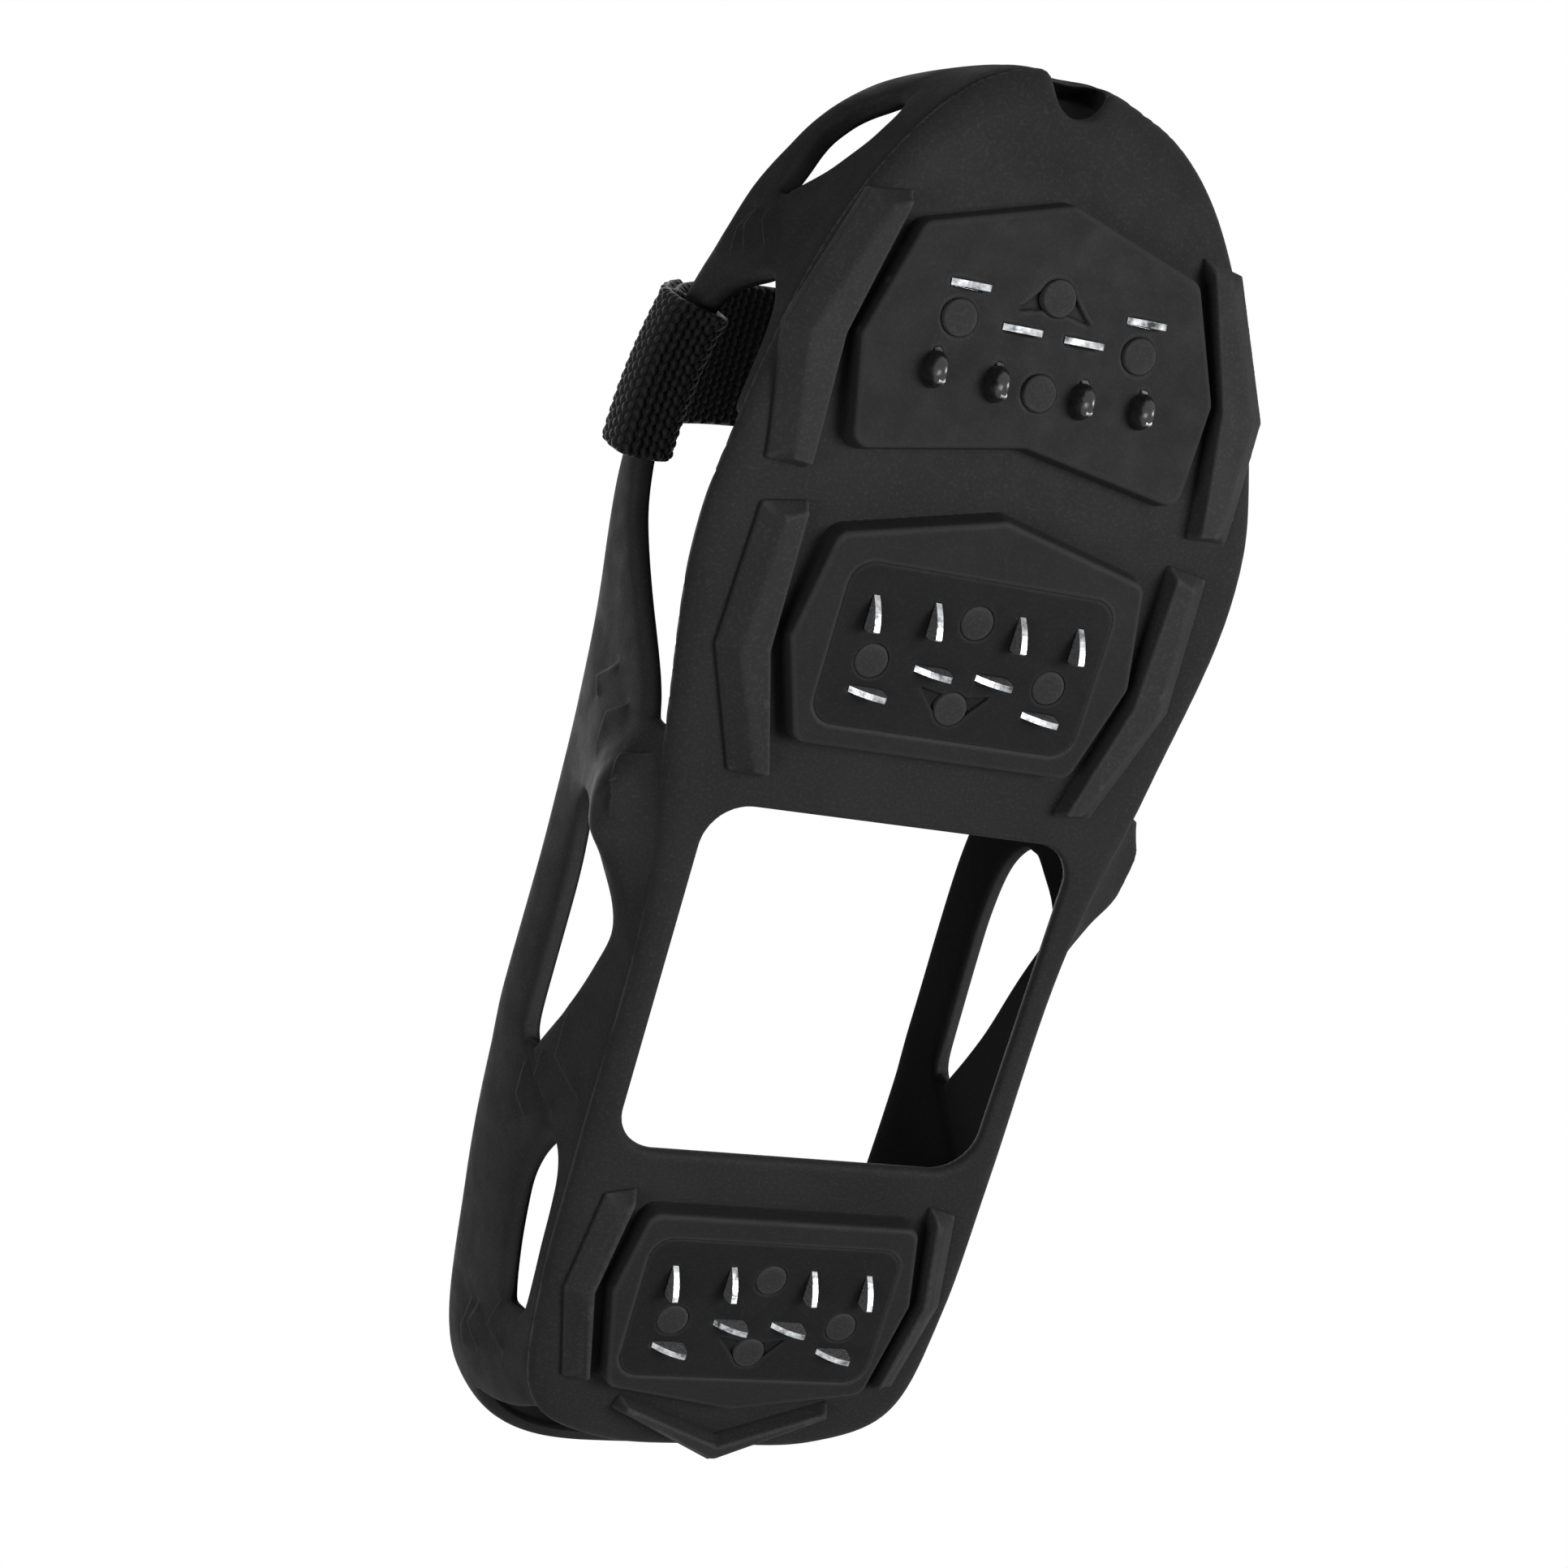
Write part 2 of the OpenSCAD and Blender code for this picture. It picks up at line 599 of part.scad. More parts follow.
// Closed loop of webbing round the rim, with a rounded box for its section
module strap_loop() {
    sides = 16;
    rows = 8;
    points = [for (r = [0:rows]) let (
        u = strap_from + (strap_to - strap_from) * r / rows,
        half_z = (top_at(u) - high_at(u)) / 2 + loop_slack,
        half_x = rim_t / 2 + loop_slack + loop_sag,
        mid_z = (top_at(u) + high_at(u)) / 2,
        out = normal_at(rim_pts, u),
        mid = wall_point(u, mid_z, 0))
        for (grow = [0, strap_t]) for (k = [0:sides - 1]) let (
            a = 360 * k / sides,
            d = pow(pow(cos(a), 4) + pow(sin(a), 4), -0.25),
            off = loop_sag + (half_x + grow) * cos(a) * d)
            [mid.x + out.x * off, mid.y + out.y * off, mid_z + (half_z + grow) * sin(a) * d]];
    function ix(r, g, k) = (r * 2 + g) * sides + k % sides;
    faces = concat(
        [for (r = [0:rows - 1]) for (k = [0:sides - 1]) each concat(
            quad(ix(r, 1, k), ix(r, 1, k + 1), ix(r + 1, 1, k + 1), ix(r + 1, 1, k)),
            quad(ix(r, 0, k), ix(r + 1, 0, k), ix(r + 1, 0, k + 1), ix(r, 0, k + 1)))],
        [for (k = [0:sides - 1]) each concat(
            quad(ix(0, 0, k), ix(0, 0, k + 1), ix(0, 1, k + 1), ix(0, 1, k)),
            quad(ix(rows, 0, k), ix(rows, 1, k), ix(rows, 1, k + 1), ix(rows, 0, k + 1)))]);
    polyhedron(points, faces);
}
// Ellipse of the strap's middle line over the instep, springing from the tops of the loops
loop_top = max(top_at(strap_from), top_at(strap_to)) + loop_slack + strap_t;
arch_a = rim_w / 2 - 2;
arch_z = loop_top - 4;
arch_b = strap_top - arch_z - strap_t / 2;
spring_z = loop_top + patch_gap;
arch_from = asin((spring_z - arch_z) / arch_b);
tail_off = strap_t + 2 * patch_t + patch_gap + 2 * bond_gap;
tail_from = asin((spring_z + patch_gap - arch_z) / (arch_b + tail_off));
patch_w = strap_w - 2 * patch_margin;
patch_off = strap_t / 2 + patch_t / 2 + bond_gap;
// A band of the strap: offset of its middle from the strap's, thickness, and its end angles
module band(offset, thickness, from, to, width) {
    steps = 36;
    angles = [for (k = [0:steps]) from + (to - from) * k / steps];
    function rail(s) = let (r = offset + s)
        [for (a = angles) [(arch_a + r) * cos(a), arch_z + (arch_b + r) * sin(a)]];
    outer = rail(thickness / 2);
    inner = rail(-thickness / 2);
    translate([0, strap_y + width / 2, 0])
        rotate([90, 0, 0])
            linear_extrude(height = width)
                polygon(concat(outer, [for (i = [steps:-1:0]) inner[i]]));
}
module strap_anchor() {
    color(webbing)
        placed()
            strap_loop();
}
module strap_turn() {
    color(webbing)
        mirror([1, 0, 0])
            placed()
                strap_loop();
}
module instep_strap() {
    color(webbing)
        placed()
            band(0, strap_t, arch_from, 180 - arch_from, strap_w);
}
module loop_patch() {
    color(webbing)
        placed()
            band(patch_off, patch_t, tail_end - loop_lead, 180 - arch_from - loop_stop, patch_w);
}
module strap_tail() {
    color(webbing)
        placed()
            band(tail_off, strap_t, tail_end, 180 - tail_from, strap_w);
}
module hook_patch() {
    color(webbing)
        placed()
            band(tail_off - patch_off, patch_t, tail_end + hook_lead, 180 - tail_from - hook_stop, patch_w);
}

outsole();
upper_toe();
upper_right();
upper_left();
upper_heel();
toe_pad();
ball_pad();
heel_pad();
toe_cover();
ball_cover();
heel_cover();
toe_cleat_plate();
ball_cleat_plate();
heel_cleat_plate();
toe_plugs();
ball_plugs();
heel_plugs();
strap_anchor();
strap_turn();
instep_strap();
loop_patch();
strap_tail();
hook_patch();
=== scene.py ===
# %% [markdown]
# # A slip-on ice cleat
# The part is a stretch rubber overshoe that grips ice with three stamped steel plates. The CAD
# model fixes every size and place. This script loads it as a frame and dresses it: soft moulded
# rubber, steel with sheared edges, and woven webbing. All lengths below are in millimetres in the
# drawing's own frame and turn into metres only where a mesh is made.

# %% Load the frame
import math

import bmesh
import bpy
import numpy as np
from mathutils import Matrix, Vector


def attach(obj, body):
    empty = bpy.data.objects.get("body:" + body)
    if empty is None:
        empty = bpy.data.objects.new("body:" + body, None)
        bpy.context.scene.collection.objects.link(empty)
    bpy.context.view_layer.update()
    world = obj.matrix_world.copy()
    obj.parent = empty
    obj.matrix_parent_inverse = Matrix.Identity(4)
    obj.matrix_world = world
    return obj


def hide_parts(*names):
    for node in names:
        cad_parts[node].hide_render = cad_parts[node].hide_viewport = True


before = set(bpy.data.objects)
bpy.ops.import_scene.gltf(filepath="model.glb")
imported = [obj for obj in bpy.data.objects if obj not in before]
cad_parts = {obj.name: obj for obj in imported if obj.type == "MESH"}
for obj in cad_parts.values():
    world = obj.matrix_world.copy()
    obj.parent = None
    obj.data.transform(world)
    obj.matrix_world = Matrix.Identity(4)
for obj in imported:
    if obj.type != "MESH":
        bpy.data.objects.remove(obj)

scene = bpy.context.scene
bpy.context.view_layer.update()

# %% [markdown]
# ## The shared drawing
# The sole is flat under the ball and heel and rises at the toe, so its height is a function of Y.
# Two smooth half outlines, mirrored, give the edge of the sole and the line of the rim. Catmull-Rom
# splines pass through their points, which keeps the numbers few and easy to read.

# %% Sole rise and outlines
ORIGIN = np.array([0.0, 50.9, 4.2])
PAD_H, WEB_T, WALL_T, RIM_T, LUG_H = 4.5, 3.5, 3.2, 4.6, 4.3
TOE_PLATE_Y, HEEL_PLATE_Y, HEEL_Y, TOE_Y = 63.7, -144.5, -179.0, 107.5
TILT = math.radians(11.5)
BEND_Y, BEND_R, CURL_Y, CURL_R = 29.0, 50.0, 88.0, 60.0
BEND_END = BEND_Y + BEND_R * math.sin(TILT)


def rise(y):
    y = np.asarray(y, float)
    bend = BEND_R - np.sqrt(np.maximum(BEND_R**2 - np.clip(y - BEND_Y, 0, BEND_R) ** 2, 0))
    ramp = BEND_R * (1 - math.cos(TILT)) + (y - BEND_END) * math.tan(TILT)
    ramp = ramp + np.maximum(y - CURL_Y, 0) ** 2 / (2 * CURL_R)
    return np.where(y < BEND_END, bend, ramp)


SOLE_EDGE = [(0, 107.5), (22, 102.5), (38, 84.5), (50, 56), (57, 20), (52.5, -20),
             (46.5, -60), (46.5, -110), (46, -144), (41.2, -169), (24.2, -178), (0, -179)]
RIM_LINE = [(0, 99), (22, 96), (41, 81), (51.5, 55), (55.5, 20), (51, -20),
            (48, -60), (48.5, -110), (46.5, -150), (40.5, -187), (26, -203), (0, -207)]


def closed_knots(half):
    half = np.array(half, float)
    return np.vstack([half, half[-2:0:-1] * (-1, 1)])


def along(knots, u):
    u = np.asarray(u, float)
    n = len(knots)
    i = np.floor(u).astype(int)
    t = (u - i)[..., None]
    a, b, c, d = (knots[(i + k) % n] for k in (-1, 0, 1, 2))
    return 0.5 * (2 * b + (c - a) * t + (2 * a - 5 * b + 4 * c - d) * t**2
                  + (3 * b - a - 3 * c + d) * t**3)


def outward(knots, u):
    d = along(knots, u + 0.02) - along(knots, u - 0.02)
    n = np.stack([-d[..., 1], d[..., 0]], -1)
    return n / np.linalg.norm(n, axis=-1, keepdims=True)


EDGE, RIM = closed_knots(SOLE_EDGE), closed_knots(RIM_LINE)
LOOP = len(EDGE)
print("outlines closed over", LOOP, "stations")

# %% [markdown]
# ## From numbers to a mesh
# Every piece is made as arrays of points and faces first. One helper turns them into an object,
# moves it from millimetres into the frame, shades it smooth and lets it ride on its body. Pieces
# that stand for CAD nodes hide those nodes. The other helpers join small meshes into one and lay
# faces between rows or rings of points.

# %% Mesh helpers
def turn_outward(mesh):
    bm = bmesh.new()
    bm.from_mesh(mesh)
    bmesh.ops.recalc_face_normals(bm, faces=bm.faces)
    bm.to_mesh(mesh)
    bm.free()


def make_piece(name, points, faces, material, body, slot, stands_for=()):
    mesh = bpy.data.meshes.new(name)
    verts = (np.asarray(points, float) + ORIGIN) / 1000
    mesh.from_pydata(verts.tolist(), [], [tuple(int(i) for i in f) for f in faces])
    turn_outward(mesh)
    mesh.polygons.foreach_set("use_smooth", [True] * len(mesh.polygons))
    mesh.materials.append(material)
    piece = bpy.data.objects.new(name, mesh)
    scene.collection.objects.link(piece)
    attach(piece, body)
    if stands_for:
        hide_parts(*stands_for)
    print(f"{name}: {len(mesh.vertices)} points, {len(mesh.polygons)} faces")


def joined(parts):
    points, faces = [], []
    for more_points, more_faces in parts:
        faces += [tuple(i + len(points) for i in face) for face in more_faces]
        points += list(more_points)
    return points, faces


def quads(index):
    corners = index[:-1, :-1], index[1:, :-1], index[1:, 1:], index[:-1, 1:]
    return np.stack(corners, -1).reshape(-1, 4).tolist()


def tube_faces(rings, sides, caps):
    index = np.arange(rings * sides).reshape(rings, sides)
    return quads(np.hstack([index, index[:, :1]])) + index[list(caps)].tolist()


print("mesh helpers ready")

# %% [markdown]
# ## Finishes
# Moulded rubber is nearly black but never flat: it has a grey bloom in soft patches, fine dust, a
# dull, uneven sheen, and edges a little paler, partly rubbed and partly a painted highlight. Each
# of these is a noise texture at its own scale, in object space, so it needs no unwrapping. The lugs
# are a little paler and hold the most dust, and the inside of the upper is darkened with painted
# shade and made quite dull. The steel is bright on its sheared edges, which look down, and dark on
# its upright flats, partly its own finish and partly painted glint and painted shade; it has fine
# pits. The webbing is a dark yarn with paler crowns, darkened further with painted shade.

# %% Node helpers
def grey(level, blue=0.0005):
    return level, level, level + blue, 1


BLACK, WARM = grey(0, 0), -0.0005


def empty_tree(owner):
    owner.use_nodes = True
    owner.node_tree.nodes.clear()
    return owner


def fill(owner, node, inputs):
    """Gives each input a value of its own, or links it to the output of another node."""
    for name, value in inputs.items():
        if isinstance(value, bpy.types.NodeSocket):
            owner.node_tree.links.new(value, node.inputs[name])
        else:
            node.inputs[name].default_value = value


def add(owner, kind, inputs=None, operation=None):
    node = owner.node_tree.nodes.new(kind)
    if operation:
        node.operation = operation
    fill(owner, node, inputs or {})
    return node


def calculate(owner, operation, *values):
    return add(owner, "ShaderNodeMath", dict(enumerate(values)), operation).outputs[0]


def new_finish(name):
    mat = empty_tree(bpy.data.materials.new(name))
    shader = add(mat, "ShaderNodeBsdfPrincipled")
    add(mat, "ShaderNodeOutputMaterial", {0: shader.outputs[0]})
    return mat, shader


print("node helpers ready")


# %% Texture helpers
def noise(mat, scale, detail=3.0, rough=0.55, stretch=(1, 1, 1)):
    place = add(mat, "ShaderNodeTexCoord").outputs["Object"]
    place = add(mat, "ShaderNodeMapping", {"Vector": place, "Scale": stretch}).outputs["Vector"]
    inputs = {"Vector": place, "Scale": scale, "Detail": detail, "Roughness": rough}
    return add(mat, "ShaderNodeTexNoise", inputs).outputs["Fac"]


def ramp(mat, value, stops):
    node = add(mat, "ShaderNodeValToRGB", {"Fac": value})
    while len(node.color_ramp.elements) < len(stops):
        node.color_ramp.elements.new(0.5)
    for element, (at, colour) in zip(node.color_ramp.elements, stops):
        element.position = at
        element.color = colour
    return node.outputs["Color"]


def spread(mat, value, low, high, floor, top):
    inputs = {"Value": value, "From Min": low, "From Max": high, "To Min": floor, "To Max": top}
    return add(mat, "ShaderNodeMapRange", inputs).outputs["Result"]


def mix(mat, kind, factor, a, b):
    node = add(mat, "ShaderNodeMix")
    node.data_type, node.blend_type = "RGBA", kind
    fill(mat, node, {0: factor, 6: a, 7: b})
    return node.outputs[2]


def bump(mat, shader, height, strength, distance, under=None):
    node = add(mat, "ShaderNodeBump", {"Height": height, "Strength": strength, "Distance": distance})
    if under is not None:
        fill(mat, node, {"Normal": under})
    fill(mat, shader, {"Normal": node.outputs["Normal"]})
    return node.outputs["Normal"]


print("texture helpers ready")

# %% Moulded rubber
INSIDE_SHADE = grey(0.35, 0)


def inner_side(mat):
    """1 on faces that look in towards the middle of the part, 0 on those that look out."""
    geometry = add(mat, "ShaderNodeNewGeometry").outputs
    flat = add(mat, "ShaderNodeVectorMath", {0: geometry["Position"], 1: (1, 0.4, 0)}, "MULTIPLY")
    sides = {0: flat.outputs["Vector"], 1: geometry["Normal"]}
    facing = add(mat, "ShaderNodeVectorMath", sides, "DOT_PRODUCT").outputs["Value"]
    return spread(mat, facing, -0.03, -0.012, 1.0, 0.0)


def moulded_rubber(name, dark, pale, dust, grain, edge=0.006, sheen=0.04, dull_and_shaded_inside=False):
    mat, shader = new_finish(name)
    bloom = ramp(mat, noise(mat, 38, 6), [(0.35, grey(dark)), (0.68, grey(pale))])
    specks = ramp(mat, noise(mat, 1500, 3, 0.7), [(0.5, BLACK), (0.78, dust)])
    # painted highlight: convex edges, found by pointiness, are made a little paler, partly as rubbed
    # wear and partly as light catching them
    edge_wear_and_highlight = add(mat, "ShaderNodeNewGeometry").outputs["Pointiness"]
    edges = ramp(mat, edge_wear_and_highlight, [(0.508, BLACK), (0.548, grey(edge, 0))])
    colour = mix(mat, "ADD", 1.0, mix(mat, "ADD", 1.0, bloom, specks), edges)
    roughness = spread(mat, noise(mat, 160, 4), 0.3, 0.7, 0.55, 0.7)
    # painted shade: faces that look inwards are darkened as if the inside lay in shadow, and are made
    # fully rough
    if dull_and_shaded_inside:
        inside = inner_side(mat)
        colour = mix(mat, "MULTIPLY", inside, colour, INSIDE_SHADE)
        roughness = calculate(mat, "MAXIMUM", inside, roughness)
    fill(mat, shader, {"Base Color": colour, "Roughness": roughness, "Specular IOR Level": sheen})
    fine = bump(mat, shader, noise(mat, 1500, 3, 0.65), grain, 0.0002)
    bump(mat, shader, noise(mat, 140, 2), 0.05, 0.001, fine)
    return mat


shell_rubber = moulded_rubber("moulded_shell", 0.0175, 0.0215, grey(0.014, WARM), 0.5)
upper_rubber = moulded_rubber("moulded_upper", 0.0225, 0.027, grey(0.014, WARM), 0.5,
                              edge=0.02, sheen=0.014, dull_and_shaded_inside=True)
lug_rubber = moulded_rubber("moulded_lug", 0.0235, 0.029, grey(0.018, WARM), 0.5, edge=0.014)
pad_rubber = moulded_rubber("moulded_pad", 0.0145, 0.0165, grey(0.008, 0), 0.3, edge=0.014, sheen=0.07)
cover_rubber = moulded_rubber("moulded_cover", 0.0085, 0.0105, grey(0.007, 0), 0.3, sheen=0.07)


def drawn_rubber_finish():
    mat, shader = new_finish("drawn_rubber")
    # painted shade: the sleeves are darker than the pad around them, partly their own black and partly
    # shade on their sides
    tone = ramp(mat, noise(mat, 700), [(0.3, grey(0.006)), (0.7, grey(0.015))])
    gloss = spread(mat, noise(mat, 900), 0.3, 0.7, 0.14, 0.32)
    fill(mat, shader, {"Base Color": tone, "Roughness": gloss, "Specular IOR Level": 0.6})
    bump(mat, shader, noise(mat, 600, 2), 0.2, 0.0003)
    return mat


drawn_rubber = drawn_rubber_finish()
print("rubbers:", [m.name for m in (shell_rubber, upper_rubber, lug_rubber, pad_rubber, cover_rubber)])


# %% Cleat steel, webbing, and hook and loop
def sheared_edge_and_painted_glint(mat):
    """1 on the edges of the teeth, which look down, and 0 on their upright flats."""
    normal = add(mat, "ShaderNodeNewGeometry").outputs["Normal"]
    upright = add(mat, "ShaderNodeSeparateXYZ", {0: normal}).outputs["Z"]
    return spread(mat, calculate(mat, "ABSOLUTE", upright), 0.25, 0.4, 0.0, 1.0)


def cleat_steel_finish():
    mat, shader = new_finish("stamped_steel")
    # painted glint and painted shade: down-facing tooth edges get bright metal and upright flats a dark
    # tone, partly the real sheared edge and scaled flat
    edge = sheared_edge_and_painted_glint(mat)
    bright = ramp(mat, noise(mat, 420, 4, 0.6), [
        (0.30, (0.05, 0.05, 0.052, 1)), (0.44, (0.32, 0.33, 0.34, 1)), (0.62, (0.60, 0.61, 0.62, 1))])
    scale = ramp(mat, noise(mat, 2600, 3, 0.7), [(0.35, grey(0.03, 0.001)), (0.65, grey(0.20, 0.005))])
    pits = noise(mat, 2400, 3, 0.65)
    fill(mat, shader, {"Base Color": mix(mat, "MIX", edge, scale, bright),
                       "Metallic": spread(mat, edge, 0.0, 1.0, 0.15, 1.0),
                       "Roughness": spread(mat, pits, 0.3, 0.7, 0.24, 0.48)})
    bump(mat, shader, pits, 0.3, 0.00008)
    return mat


def yarn_finish(name, dark, crown, scale):
    mat, shader = new_finish(name)
    tone = ramp(mat, noise(mat, scale, 3, 0.7), [(0.35, dark), (0.72, crown)])
    gloss = spread(mat, noise(mat, scale * 2, 2), 0.3, 0.7, 0.4, 0.6)
    fill(mat, shader, {"Base Color": tone, "Roughness": gloss, "Specular IOR Level": 0.12})
    bump(mat, shader, noise(mat, scale * 3, 2, 0.7, (1, 4, 1)), 0.4, 0.0002)
    return mat


cleat_steel = cleat_steel_finish()
# painted shade: the webbing is the yarn's own black, set darker still to stand for shade on the loops
webbing = yarn_finish("woven_webbing", grey(0.0025, 0.0002), grey(0.006, 0.0003), 1400)
stitch_yarn = yarn_finish("stitch_yarn", grey(0.045, 0.001), grey(0.085, 0.001), 2600)
hook_face = yarn_finish("hook_face", grey(0.005), grey(0.018, 0), 1800)
loop_face = yarn_finish("loop_face", grey(0.004), grey(0.014), 900)
print("other finishes:", [m.name for m in (cleat_steel, webbing, stitch_yarn, hook_face, loop_face)])

# %% [markdown]
# ## A skin over a distance field
# The sole, its lugs and the pads are moulded rubber, with a soft radius on every edge and a fillet at
# every foot. Bevels fail where many slanted faces meet, so these pieces are written as a distance
# field: a formula that is negative inside the rubber. Smooth minimum and maximum join and cut forms
# with a radius of their own. A surface net then lays one point in each cell that the skin crosses.

# %% Distance helpers
def smooth_min(a, b, k):
    t = np.clip(0.5 + 0.5 * (b - a) / k, 0, 1)
    return b + (a - b) * t - k * t * (1 - t)


def smooth_max(a, b, k):
    return -smooth_min(-a, -b, k)


def ring_distance(x, y, ring):
    near = np.full(x.shape, 1e9)
    inside = np.zeros(x.shape, bool)
    for (ax, ay), (bx, by) in zip(ring, np.roll(ring, -1, 0)):
        ex, ey, wx, wy = bx - ax, by - ay, x - ax, y - ay
        t = np.clip((wx * ex + wy * ey) / (ex * ex + ey * ey), 0, 1)
        near = np.minimum(near, (wx - ex * t) ** 2 + (wy - ey * t) ** 2)
        if ay != by:
            inside ^= ((ay <= y) != (by <= y)) & (wx < wy * ex / ey)
    return np.where(inside, -1, 1) * np.sqrt(near)


def box_distance(x, y, half_x, half_y, r):
    qx, qy = np.abs(x) - half_x + r, np.abs(y) - half_y + r
    return np.hypot(np.maximum(qx, 0), np.maximum(qy, 0)) + np.minimum(np.maximum(qx, qy), 0) - r


print("distance helpers ready")


# %% Surface net
def surface_net(field, lo, hi, step):
    axes = [np.arange(a, b + step, step) for a, b in zip(lo, hi)]
    x, y = (g.ravel()[:, None] for g in np.meshgrid(axes[0], axes[1], indexing="ij"))
    f = field(x, y, axes[2][None, :]).reshape([len(a) for a in axes])
    inside = f < 0
    shape = np.array(f.shape) - 1
    offsets = np.argwhere(np.ones((2, 2, 2)))
    count = sum(inside[i:shape[0] + i, j:shape[1] + j, k:shape[2] + k].astype(int)
                for i, j, k in offsets)
    cells = np.argwhere((count > 0) & (count < 8))
    index = np.full(shape, -1)
    index[tuple(cells.T)] = np.arange(len(cells))
    total, hits = np.zeros((len(cells), 3)), np.zeros(len(cells))
    for axis in range(3):
        for start in offsets[offsets[:, axis] == 0]:
            end = start + np.eye(3, dtype=int)[axis]
            f0, f1 = f[tuple((cells + start).T)], f[tuple((cells + end).T)]
            cross = (f0 < 0) != (f1 < 0)
            t = np.where(cross, f0 / np.where(cross, f0 - f1, 1), 0)
            total += np.where(cross[:, None], start + t[:, None] * (end - start), 0)
            hits += cross
    points = np.array(lo) + (cells + total / hits[:, None]) * step
    return pull_to_skin(field, points, step), net_faces(inside, index)


def net_faces(inside, index):
    faces = []
    for axis in range(3):
        b, c = (axis + 1) % 3, (axis + 2) % 3
        edges = np.argwhere(np.diff(inside, axis=axis))
        edges = edges[(edges[:, b] > 0) & (edges[:, c] > 0)]
        edges = edges[(edges[:, b] < index.shape[b]) & (edges[:, c] < index.shape[c])]
        back_b, back_c = np.eye(3, dtype=int)[[b, c]]
        cells = edges, edges - back_b, edges - back_b - back_c, edges - back_c
        faces.append(np.stack([index[tuple(cell.T)] for cell in cells], 1))
    return np.vstack(faces)


def pull_to_skin(field, points, step, rounds=2, eps=0.04):
    p = points.copy()
    for _ in range(rounds):
        x, y, h = (p[:, k:k + 1] for k in range(3))
        f = field(x, y, h)
        g = np.hstack([field(x + eps, y, h), field(x, y + eps, h), field(x, y, h + eps)]) - f
        g /= eps
        move = f * g / np.maximum((g**2).sum(1, keepdims=True), 0.05)
        p -= np.clip(move, -0.6 * step, 0.6 * step)
    return p


print("surface net ready")

# %% [markdown]
# ## The sole
# One rubber plate carries everything. Its lower edge is well rounded, a window is open under the
# arch, and a drain notch is cut at the toe. Seven lugs stand on it: each bends at an elbow, with a flat
# crown and a long slope to the outside. The plate is drawn flat, with h as the height above its
# lower face, and bent up at the toe afterwards, so that the formula stays simple.

# %% Lugs
def side_lug(plate_y, front, elbow, rear, stretch=1.0, slope=4.0, draft=0.8):
    """Each end and the elbow are (y, inner x, outer x). Gives the rings at foot and crown."""
    (fy, f_in, f_out), (ey, e_in, e_out), (ry, r_in, r_out) = front, elbow, rear
    base = [(f_in, fy - 1.5), (e_in, ey), (r_in, ry),
            (r_out, ry + 0.5), (e_out, ey - 1), (f_out, fy - 3)]
    top = [(f_in + draft, fy - 3), (e_in + draft, ey), (r_in + draft, ry + 1.5),
           (r_out - slope, ry + 2), (e_out - slope, ey - 1), (f_out - slope, fy - 4.5)]
    return [np.array(ring) * (1, stretch) + (0, plate_y) for ring in (base, top)]


def rear_lug(half_w=24.6, draft=0.8):
    base = [(half_w - 1, 13.5), (0, 4.5), (1 - half_w, 13.5),
            (-half_w, 10.5), (0, -1.5), (half_w, 10.5)]
    top = [(half_w - 2, 13.5 - draft), (0, 4.5 - draft), (2 - half_w, 13.5 - draft),
           (2 - half_w, 11.5), (0, 1), (half_w - 2, 11.5)]
    return [np.array(ring) + (0, HEEL_Y) for ring in (base, top)]


SIDE_LUGS = [
    side_lug(TOE_PLATE_Y, (22, 31, 39.5), (-6, 39, 50.6), (-31.5, 40.5, 48.8), math.cos(TILT)),
    side_lug(0, (28.5, 38.5, 47.3), (-1.5, 38.3, 48.6), (-27, 31.4, 39.3)),
    side_lug(HEEL_PLATE_Y, (29, 33, 39.2), (5, 36.3, 42.3), (-17, 32, 37.5))]
LUGS = [(rings, side) for rings in SIDE_LUGS for side in (1, -1)] + [(rear_lug(), 1)]
print("lugs:", len(LUGS))

# %% Sole skin
EDGE_RING = along(EDGE, np.arange(0, LOOP, 0.1))
SOLE_CELL, EDGE_W, EDGE_H = 0.78, 5.0, 3.2
WINDOW_Y, WINDOW_HALF_X, WINDOW_HALF_Y, WINDOW_R = -71.5, 40, 37.5, 9
NOTCH_R = 5.7
SWELL_X = (-15, -9, -5, -2.5, 4, 7, 11, 16, 24)
SWELL_FAR = (0, 0.7, 1.1, 0, 0, 2.0, 1.8, 1.0, 0)


def toe_swell(x, y):
    """The toe swells a little on both sides of the notch, more on one side than on the other."""
    far = np.interp(x, SWELL_X, SWELL_FAR) * (np.asarray(y) > 80)
    return np.stack([far * x / 50, far], -1)


def sole_field(x, y, h):
    edge = ring_distance(x, y, EDGE_RING)
    out, down = np.maximum(edge + EDGE_W, 0) / EDGE_W, np.maximum(EDGE_H - h, 0) / EDGE_H
    plate = smooth_max((np.hypot(out, down) - 1) * 3.6, h - WEB_T + 0.05, 0.5)
    window = box_distance(x, y - WINDOW_Y, WINDOW_HALF_X, WINDOW_HALF_Y, WINDOW_R)
    notch_lip = np.interp(x, (-5.5, -2.5), (2.6, 0.5))
    return smooth_max(smooth_max(plate, -window, 1.8), NOTCH_R - np.hypot(x, y - TOE_Y), notch_lip)


sole_points, sole_faces = surface_net(sole_field, (-60, -183, -1.2), (60, 109.5, 4.4), SOLE_CELL)
sole_points[:, 2] += rise(sole_points[:, 1]) + PAD_H
inset = np.clip(1 + ring_distance(sole_points[:, 0], sole_points[:, 1], EDGE_RING) / 7, 0, 1)
sole_points[:, :2] += toe_swell(sole_points[:, 0], sole_points[:, 1]) * inset[:, None] ** 2
make_piece("sole", sole_points, sole_faces, shell_rubber, "harness", "shell_rubber", ["outsole"])

# %% Lug skins
LUG_CELL = 0.46


